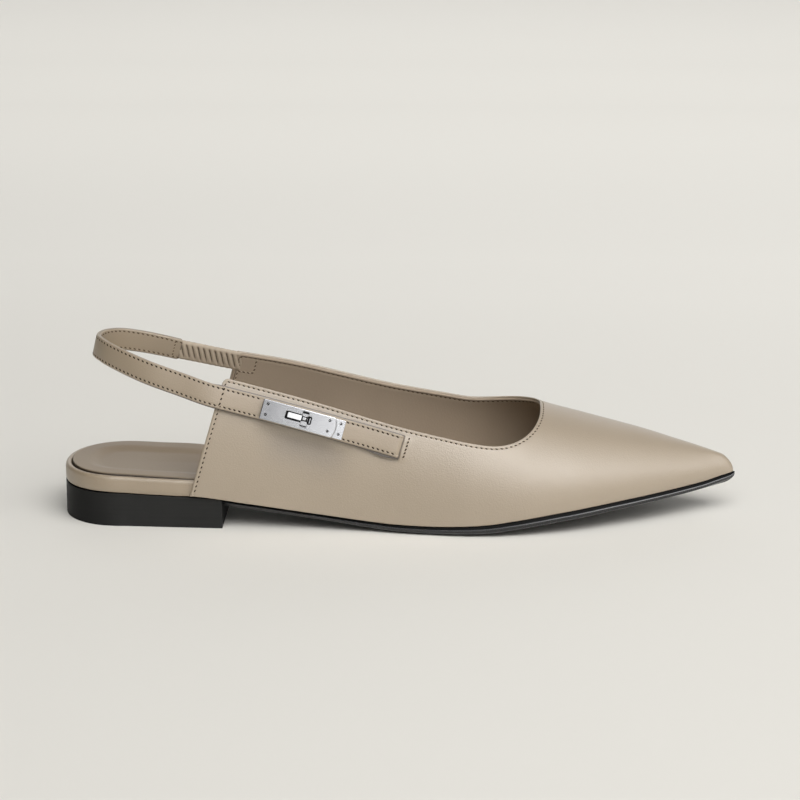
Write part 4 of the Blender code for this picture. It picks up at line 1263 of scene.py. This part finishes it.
high, low = PLATE_HEIGHT / 2, -PLATE_HEIGHT / 2 - PLATE_DROP
centre, reach = (high + low) / 2, (high - low) / 2
turns = np.linspace(-BULGE_TURN, BULGE_TURN, 13)
bulge = [(PLATE_LENGTH + PLATE_BULGE * math.cos(a), centre + reach * a / BULGE_FULL) for a in turns]
plate_shape = [(0, high), (0, low), (PLATE_LENGTH, low)] + bulge + [(PLATE_LENGTH, high)]
plate = slab("clasp_top", plate_shape, TOP_LOW, TOP_HIGH)
slot_middle = (SLOT_START + SLOT_END) / 2
slot_shape = bar_shape(slot_middle, 0, SLOT_END - SLOT_START, SLOT_HEIGHT, 0.5)
slot = slab("slot", slot_shape, CUT_LOW, CUT_HIGH)
plate = to_clasp(ease_edges(cut_out(ease_edges(plate, 0.3), [slot]), 0.06, 1))
settle(plate, "bright_metal", [bright], "clasp_plate")

base_shape = bar_shape(BASE_LENGTH / 2 + 0.2, -0.2, BASE_LENGTH - 0.4, BASE_HEIGHT + 0.4, 0.4)
metal_piece("clasp_under", base_shape, -BASE_SINK, BASE_THICK, bright, 0.1, 2, "clasp_base")

# %% Inside of the slot
TONGUE_AT, TONGUE_LOW, TONGUE_TILT = (13.25, 0.18), 0.25, 8.0
LUG_AT, LUG_LOW = 19.35, 0.12
# The slot's floor is near-black: painted shadow deep in the slot.
floor_shape = bar_shape(slot_middle, 0, SLOT_END - SLOT_START + 0.8, SLOT_HEIGHT + 0.8, 0.6)
metal_piece("slot_floor", floor_shape, BASE_THICK + 0.02, TOP_LOW - 0.02, shadowed, 0.05, 1)
tongue = slab("slot_tongue", bar_shape(*TONGUE_AT, 5.7, 2.2, 0.3), BASE_THICK + 0.1, TOP_HIGH - TONGUE_LOW)
tongue = ease_edges(tongue, 0.1)
pivot = Matrix.Translation(Vector((*TONGUE_AT, TOP_HIGH - TONGUE_LOW)) * MM)
tilt = Matrix.Rotation(math.radians(-TONGUE_TILT), 4, "X")
tongue.data.transform(pivot @ tilt @ pivot.inverted())
settle(to_clasp(tongue), "bright_metal", [polished])
lug_shape = bar_shape(LUG_AT, 0, 0.4, 2.2, 0.12)
metal_piece("slot_lug", lug_shape, BASE_THICK + 0.1, TOP_HIGH - LUG_LOW, bright, 0.04, 1)

# %% Pins
def pin(name, spot, head):
    """A rivet with a low domed head."""
    alone()
    bpy.ops.mesh.primitive_cylinder_add(vertices=20, radius=PIN_WIDE / 2 * MM, depth=(head + PIN_DEEP) * MM)
    piece = new_piece(name)
    piece.data.transform(Matrix.Translation(Vector((*spot, (head - PIN_DEEP) / 2)) * MM))
    return to_clasp(ease_edges(piece, 0.22, 4, smooth=40.0))


for count, spot in enumerate(pin_spots, 1):
    face = TOP_HIGH if spot[0] < PLATE_LENGTH else BASE_THICK
    settle(pin(f"rivet_{count}", spot, face + PIN_PROUD), "bright_metal", [bright], f"clasp_pin_{count}")
    ring_shape = disc(spot[0] + RING_ASIDE, spot[1], PIN_RING)
    metal_piece(f"rivet_ring_{count}", ring_shape, face - 0.2, face + RING_PROUD, shadowed, 0.02, 1)

# %% Turning bar
KNOB_AT, KNOB_STEM, KNOB_LONG, KNOB_WIDE, KNOB_THICK = 17.3, 2.4, 5.8, 2.5, 1.6
SEAT = TOP_HIGH + GAP
KNOB_TOP = SEAT + KNOB_THICK
bar = slab("turn_bar", bar_shape(KNOB_AT, 0, KNOB_WIDE, KNOB_LONG, 0.4), SEAT, KNOB_TOP)
waist_shapes = [bar_shape(KNOB_AT + side * KNOB_WIDE / 2, 0, 0.9, 2.3, 0.3) for side in (-1, 1)]
bar = ease_edges(cut_out(bar, [slab("waist", shape, SEAT - 1, SEAT + 3) for shape in waist_shapes]), 0.14)
boss = slab("boss", bar_shape(KNOB_AT - 0.1, 0, 1.5, 1.1, 0.4), KNOB_TOP - 0.2, KNOB_TOP + 0.3)
boss = ease_edges(boss, 0.12)
stem = ease_edges(slab("stem", disc(KNOB_AT, 0, KNOB_STEM), TOP_LOW, SEAT + 0.2), 0.05, 1)
alone(bar, boss, stem)
bpy.ops.object.join()
settle(to_clasp(bar), "bright_metal", [bright], "turn_knob", body="knob")
# Dark caps at the bar's ends and round its boss: painted shadow.
for name, x, y, wide, long, low, high in (
    ("turn_end_top", 0.0, 2.52, 2.52, 0.9, SEAT + 0.1, KNOB_TOP + 0.06),
    ("turn_end_bottom", 0.0, -2.76, 2.52, 0.3, SEAT + 0.1, KNOB_TOP + 0.05),
    ("turn_groove_shadow", -0.1, 0.0, 2.3, 1.9, KNOB_TOP - 0.1, KNOB_TOP + 0.04),
):
    shape = bar_shape(KNOB_AT + x, y, wide, long, min(0.22, long / 3))
    metal_piece(name, shape, low, high, shadowed, 0.05, 1, body="knob")

# %% [markdown]
# ## The seams
# Every edge of this shoe is sewn with thread of its own colour, about 2 mm to a stitch. From a distance a
# seam reads as a row of small dark needle holes with a short bar of thread between them. One stitch is
# modelled: a thread bar and a hole, each a small squashed ball. The hole is a ball laid just proud of the
# leather, and its dark colour is painted shade, the shadow inside the hole. The stitch is copied along
# each seam's line, turned to lie on the leather, and the copies of one seam are kept together as one
# piece. On the inner side the holes are paler, so those seams have a paler painted shade.

# %% One stitch
STITCH_PITCH, STITCH_SLANT, HOLE_PROUD, LOOK_AHEAD = 2.0, math.radians(-24.0), 0.03, 0.3
THREAD = (0.5, 0.25, 0.15)
HOLE = (0.62, 0.31, 0.08)


def bead(name, size, rings):
    """A small squashed ball, in millimetres about the origin."""
    alone()
    bpy.ops.mesh.primitive_uv_sphere_add(segments=8, ring_count=rings, radius=1.0)
    piece = new_piece(name)
    piece.data.transform(Matrix.Diagonal((*size, 1)))
    return piece


thread_bar, needle_hole = bead("thread_bar", THREAD, 5), bead("needle_hole", HOLE, 4)


def thread_finish():
    """Twisted thread, a little lighter than the leather."""
    made, shader, place = new_finish("thread", Roughness=0.6)
    twist = noise(place, 0.35)
    feed(shader, "Base Color", twist.blend((0.50, 0.42, 0.31, 1), (0.36, 0.29, 0.21, 1)))
    emboss(shader, twist, 0.05, 0.6)
    return made


def hole_shade_finish(name, dark, light):
    """Painted shade: the dark inside of a needle hole."""
    made, shader, place = new_finish(name, Roughness=0.9, Specular_IOR_Level=0.1)
    feed(shader, "Base Color", noise(place, 0.4).blend((*dark, 1), (*light, 1)))
    return made


thread = thread_finish()
# Painted shade for the needle holes: near-black on the outer side, paler on the inner.
dark_hole_shade = hole_shade_finish("needle hole", (0.030, 0.020, 0.013), (0.055, 0.038, 0.026))
pale_hole_shade = hole_shade_finish("needle hole, inner side", (0.120, 0.088, 0.060), (0.170, 0.128, 0.090))
print("stitch of", len(thread_bar.data.polygons) + len(needle_hole.data.polygons), "faces")


# %% Sewing
def sew(name, line, normal, pitch=STITCH_PITCH, keep=None, hole=dark_hole_shade):
    """A seam: stitches along a line of points, each lying on the leather that faces along normal."""
    run = run_along(line)
    count = max(1, round(run[-1] / pitch))
    pitch = run[-1] / count
    seam = bmesh.new()
    for i in range(2 * count):
        at, is_hole = (i / 2 + 0.25) * pitch, i % 2
        spot = at_run(at, run, line)
        if keep is not None and not keep(spot):
            continue
        ahead = at_run(at + LOOK_AHEAD, run, line) - at_run(at - LOOK_AHEAD, run, line)
        away = unit(at_run(at, run, normal))
        ahead = unit(ahead - away * (ahead @ away))
        ahead = ahead * math.cos(STITCH_SLANT) + np.cross(away, ahead) * math.sin(STITCH_SLANT)
        axes = Matrix((ahead, np.cross(away, ahead), away)).transposed().to_4x4()
        axes.translation = Vector(spot + away * HOLE_PROUD * is_hole)
        copy = (needle_hole if is_hole else thread_bar).data.copy()
        copy.transform(Matrix.Scale(MM, 4) @ axes)
        known = len(seam.faces)
        seam.from_mesh(copy)
        seam.faces.ensure_lookup_table()
        for face in seam.faces[known:]:
            face.material_index = is_hole
            face.smooth = True
        bpy.data.meshes.remove(copy)
    mesh = bpy.data.meshes.new(name)
    seam.to_mesh(mesh)
    seam.free()
    piece = bpy.data.objects.new(name, mesh)
    bpy.context.scene.collection.objects.link(piece)
    return settle(piece, "taupe_leather", [thread, hole])


def on_last(points, inset):
    """The nearest places on the upper's face, or on its lining, and the outward directions there."""
    angles = np.linspace(0, np.pi / 2, 1200)
    spots, normals = [], []
    for point in points:
        side = -1 if point[1] < follow(CROWN, "side", point[0]) else 1
        ring = last_point(np.full(len(angles), point[0]), side, angles, inset)
        best = int(np.linalg.norm(ring - point, axis=1).argmin())
        spots.append(ring[best])
        normals.append(last_normal(point[0], side, angles[best]))
    return np.array(spots), np.array(normals)


def inside_rim(rim_points, offset, inset):
    """The line that runs this far inside the upper's rim, and the outward directions along it."""
    run = run_along(rim_points)
    rim = at_run(np.linspace(offset, run[-1] - offset, 700), run, rim_points)
    _, normal = on_last(rim, 0.0)
    heading = unit(np.gradient(rim, axis=0))
    return on_last(rim + offset * unit(np.cross(heading, normal)), inset)


print("sewing helpers ready")

# %% Seams of the upper
FACE = STRAP_THICK / 2 + 0.03
LINING_SEAM_IN = SEAM_IN + 0.35
CROSS_IN, CROSS_NEAR, CROSS_AFTER, CROSS_LIFT = 0.2, 4.0, 2, 0.05


def strap_place(spot):
    """Where a point lies against the strap: its nearest section, how far across and how far out."""
    nearest = int(np.linalg.norm(middle - spot, axis=1).argmin())
    away = spot - middle[nearest]
    return nearest, away @ up[nearest], away @ out[nearest]


rim_seam, rim_normal = inside_rim(RIM, SEAM_IN, SEAM_DEEP)
for i, spot in enumerate(rim_seam):
    nearest, across, away = strap_place(spot)
    under_strap = abs(across) < STRAP_WIDTH / 2 - CROSS_IN and abs(away) < CROSS_NEAR
    if under_strap and spot[1] < 0 and strap_run[nearest] > CROSS_AFTER:
        rim_seam[i] = spot + out[nearest] * (FACE + CROSS_LIFT - away)
        rim_normal[i] = out[nearest]
sew("collar_seam", rim_seam, rim_normal)
inner_seam, inner_normal = inside_rim(LINING_RIM, LINING_SEAM_IN, LINING_INSIDE - SEAM_DEEP)
sew("lining_seam", inner_seam, -inner_normal, hole=pale_hole_shade)

# %% Seams of the strap
COVER_BEHIND, COVER_AHEAD, COVER_HALF = 0.7, 0.5, 5
SEWN_FROM, AIR_FROM = 1.0, -83.0


def off_clasp(spot):
    """False for a stitch that the clasp covers."""
    x, y = (spot - CLASP_AT) @ CLASP_X, (spot - CLASP_AT) @ CLASP_Y
    return not (-COVER_BEHIND < x < BASE_LENGTH + COVER_AHEAD and abs(y) < COVER_HALF)


visible = strap_run > SEWN_FROM
free = (middle[:, 0] < AIR_FROM) | (middle[:, 1] > 0)
dive = np.clip(1 - strap_run / DIVE_LONG, 0, 1)[:, None] ** 2 * DIVE_DEEP
for edge, across in (("upper", STRAP_SEAM), ("lower", -STRAP_SEAM)):
    row = middle + up * across + out * (FACE - dive)
    sew(f"strap_seam_{edge}", row[visible], out[visible], keep=off_clasp)
    inner_row = middle + up * across - out * FACE
    sew(f"strap_inner_seam_{edge}", inner_row[free], -out[free], hole=pale_hole_shade)

# %% Short seams
TAB_SEAM_IN, LIP_SEAM_AHEAD, LIP_SEAM_HALF, POINTS = 2.6, 1.7, 4.3, 12
TAB_PITCH, LIP_PITCH, BOX_PITCH = 1.5, 1.4, 1.8
BOX = ((9.0, 2.3), (9.0, 8.3), (8.6, 9.0), (8.0, 9.3), (2.0, 9.3))
BOX_LEAN = 0.24


def across_strap(run, outward):
    """A line across the strap at a distance along it, on its outer or its inner face."""
    i = int(np.abs(strap_run - run).argmin())
    spread = np.linspace(-STRAP_SEAM, STRAP_SEAM, POINTS)[:, None]
    normal = np.repeat(outward * out[i][None, :], POINTS, axis=0)
    return middle[i] + up[i] * spread + out[i] * outward * FACE, normal


for name, outward, hole in (("strap_tab_seam_out", 1, dark_hole_shade), ("strap_tab_seam_in", -1, pale_hole_shade)):
    sew(name, *across_strap(strap_run[-1] - TAB_SEAM_IN, outward), pitch=TAB_PITCH, hole=hole)

lip_middle = middle[0] - along[0] * LIP_SEAM_AHEAD - out[0] * (GAP + STRAP_THICK / 2)
lip_row = lip_middle + up[0] * np.linspace(-LIP_SEAM_HALF, LIP_SEAM_HALF, POINTS)[:, None]
lip_row, lip_normal = on_last(lip_row, 0.0)
sew("slit_seam", lip_row + lip_normal * slit_lip(lip_row)[:, None], lip_normal, pitch=LIP_PITCH)

corner_x = QUARTER_BACK + QUARTER_LEAN + MEDIAL_FORWARD
box_row = []
for first, second in zip(np.array(BOX[:-1]), np.array(BOX[1:])):
    for t in np.linspace(0, 1, 8)[:-1]:
        ahead, down = first + (second - first) * t
        x = corner_x + ahead - BOX_LEAN * down
        edge = last_point(x, 1, opening_angle(x, 1))
        box_row.append(edge - np.array([0, 0, down]))
box_row, box_normal = on_last(np.array(box_row), LINING_INSIDE)
sew("box_seam", box_row, -box_normal, pitch=BOX_PITCH, hole=pale_hole_shade)

# %% [markdown]
# ## Spare pieces
# The single thread bar and needle hole that every seam was copied from are removed.

# %% Spare pieces
for spare in (thread_bar, needle_hole):
    bpy.data.objects.remove(spare)
